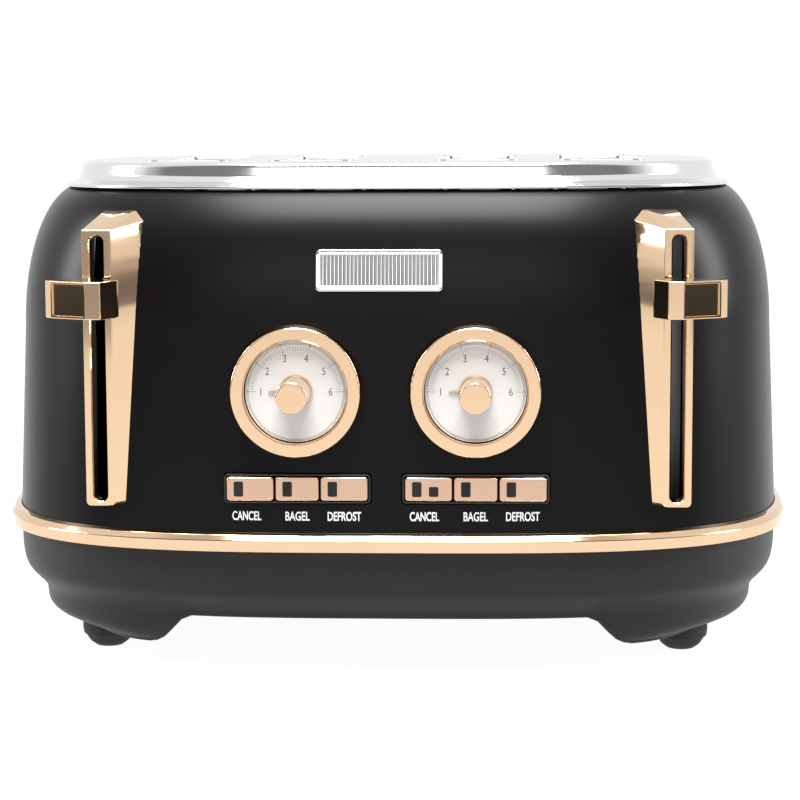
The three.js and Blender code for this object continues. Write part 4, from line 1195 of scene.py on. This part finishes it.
def buildCards():
    for name, (start, end, height, shade) in studio["cards"].items():
        dull = makeFinish(f"card_{name}", {"colour": (shade, shade, shade), "roughness": (0.8, 0.9),
                                           "specular": 0.05})
        for hand, side in sides.items():
            corners = ((start, 0), (end, 0), (end, height), (start, height))
            points = [Vector((side * x, y, z)) for (x, y), z in corners]
            card = newPiece(f"card_{name}_{hand}", points, [(0, 1, 2, 3)], dull)
            card.visible_camera = False


# Pale surroundings with a darker stretch at each front quarter; looked at directly they are plain white.
def buildSky():
    world = bpy.data.worlds.new("studio")
    bpy.context.scene.world = world
    world.use_nodes = True
    nodes, links = world.node_tree.nodes, world.node_tree.links
    nodes.clear()
    where = nodes.new("ShaderNodeTexCoord")
    split = nodes.new("ShaderNodeSeparateXYZ")
    links.new(where.outputs["Generated"], split.inputs["Vector"])
    share = nodes.new("ShaderNodeMapRange")
    share.inputs["From Min"].default_value = -1
    share.inputs["From Max"].default_value = 1
    links.new(split.outputs["Y"], share.inputs["Value"])
    ramp = nodes.new("ShaderNodeValToRGB")
    ramp.color_ramp.interpolation = "EASE"
    stops = ramp.color_ramp.elements
    while len(stops) < len(studio["sky"]):
        stops.new(0.5)
    for stop, (spot, level) in zip(stops, studio["sky"]):
        stop.position = spot
        stop.color = (level, level, level, 1)
    links.new(share.outputs["Result"], ramp.inputs["Fac"])
    shade = nodes.new("ShaderNodeBackground")
    links.new(ramp.outputs["Color"], shade.inputs["Color"])
    plain = nodes.new("ShaderNodeBackground")
    plain.inputs["Color"].default_value = (1, 1, 1, 1)
    plain.inputs["Strength"].default_value = 1.0
    path = nodes.new("ShaderNodeLightPath")
    mix = nodes.new("ShaderNodeMixShader")
    links.new(path.outputs["Is Camera Ray"], mix.inputs["Fac"])
    links.new(shade.outputs["Background"], mix.inputs[1])
    links.new(plain.outputs["Background"], mix.inputs[2])
    out = nodes.new("ShaderNodeOutputWorld")
    links.new(mix.outputs["Shader"], out.inputs["Surface"])


softboxes = [
    # name, place, target, width, height, power
    ("top", (0, -0.42, 1.5), (0, -0.1, 0.15), 0.8, 1.1, 70),
    ("front", (0, -1.5, 0.66), (0, 0, 0.2), 1.0, 0.5, 2.2),
    ("left", (-1.35, -0.1, 0.62), (0, -0.05, 0.16), 0.35, 0.85, 17),
    ("right", (1.35, -0.1, 0.62), (0, -0.05, 0.16), 0.35, 0.85, 17),
]


def buildLights():
    for name, spot, target, width, height, power in softboxes:
        light = bpy.data.lights.new(f"softbox_{name}", "AREA")
        light.shape = "RECTANGLE"
        light.size, light.size_y = width, height
        light.energy = power
        lamp = addObject(f"softbox_{name}", light)
        lamp.location = spot
        lamp.rotation_euler = (Vector(target) - Vector(spot)).to_track_quat("-Z", "Y").to_euler()


view = {"azimuth": 2.427, "elevation": 6.918, "roll": -0.22, "distance": 1.01117,
        "target": (-0.00062, 0, 0.0916), "lens": 101.997, "sensor": 36}


def buildCamera():
    azimuth, elevation = math.radians(view["azimuth"]), math.radians(view["elevation"])
    away = Vector((math.sin(azimuth) * math.cos(elevation), -math.cos(azimuth) * math.cos(elevation),
                   math.sin(elevation)))
    target = Vector(view["target"]) + Vector((0, plan["middleY"], 0))
    right = Vector((0, 0, 1)).cross(away).normalized()
    up = away.cross(right)
    roll = math.radians(view["roll"])
    tiltedRight = right * math.cos(roll) + up * math.sin(roll)
    tiltedUp = up * math.cos(roll) - right * math.sin(roll)
    data = bpy.data.cameras.new("camera")
    data.lens = view["lens"]
    data.sensor_width = view["sensor"]
    camera = addObject("camera", data)
    turn = Matrix((tiltedRight, tiltedUp, away)).transposed().to_4x4()
    camera.matrix_world = Matrix.Translation(target + away * view["distance"]) @ turn
    bpy.context.scene.camera = camera


buildFloor()
buildCards()
buildSky()
buildLights()
buildCamera()
bpy.context.scene.view_settings.view_transform = "Standard"
print("studio ready")
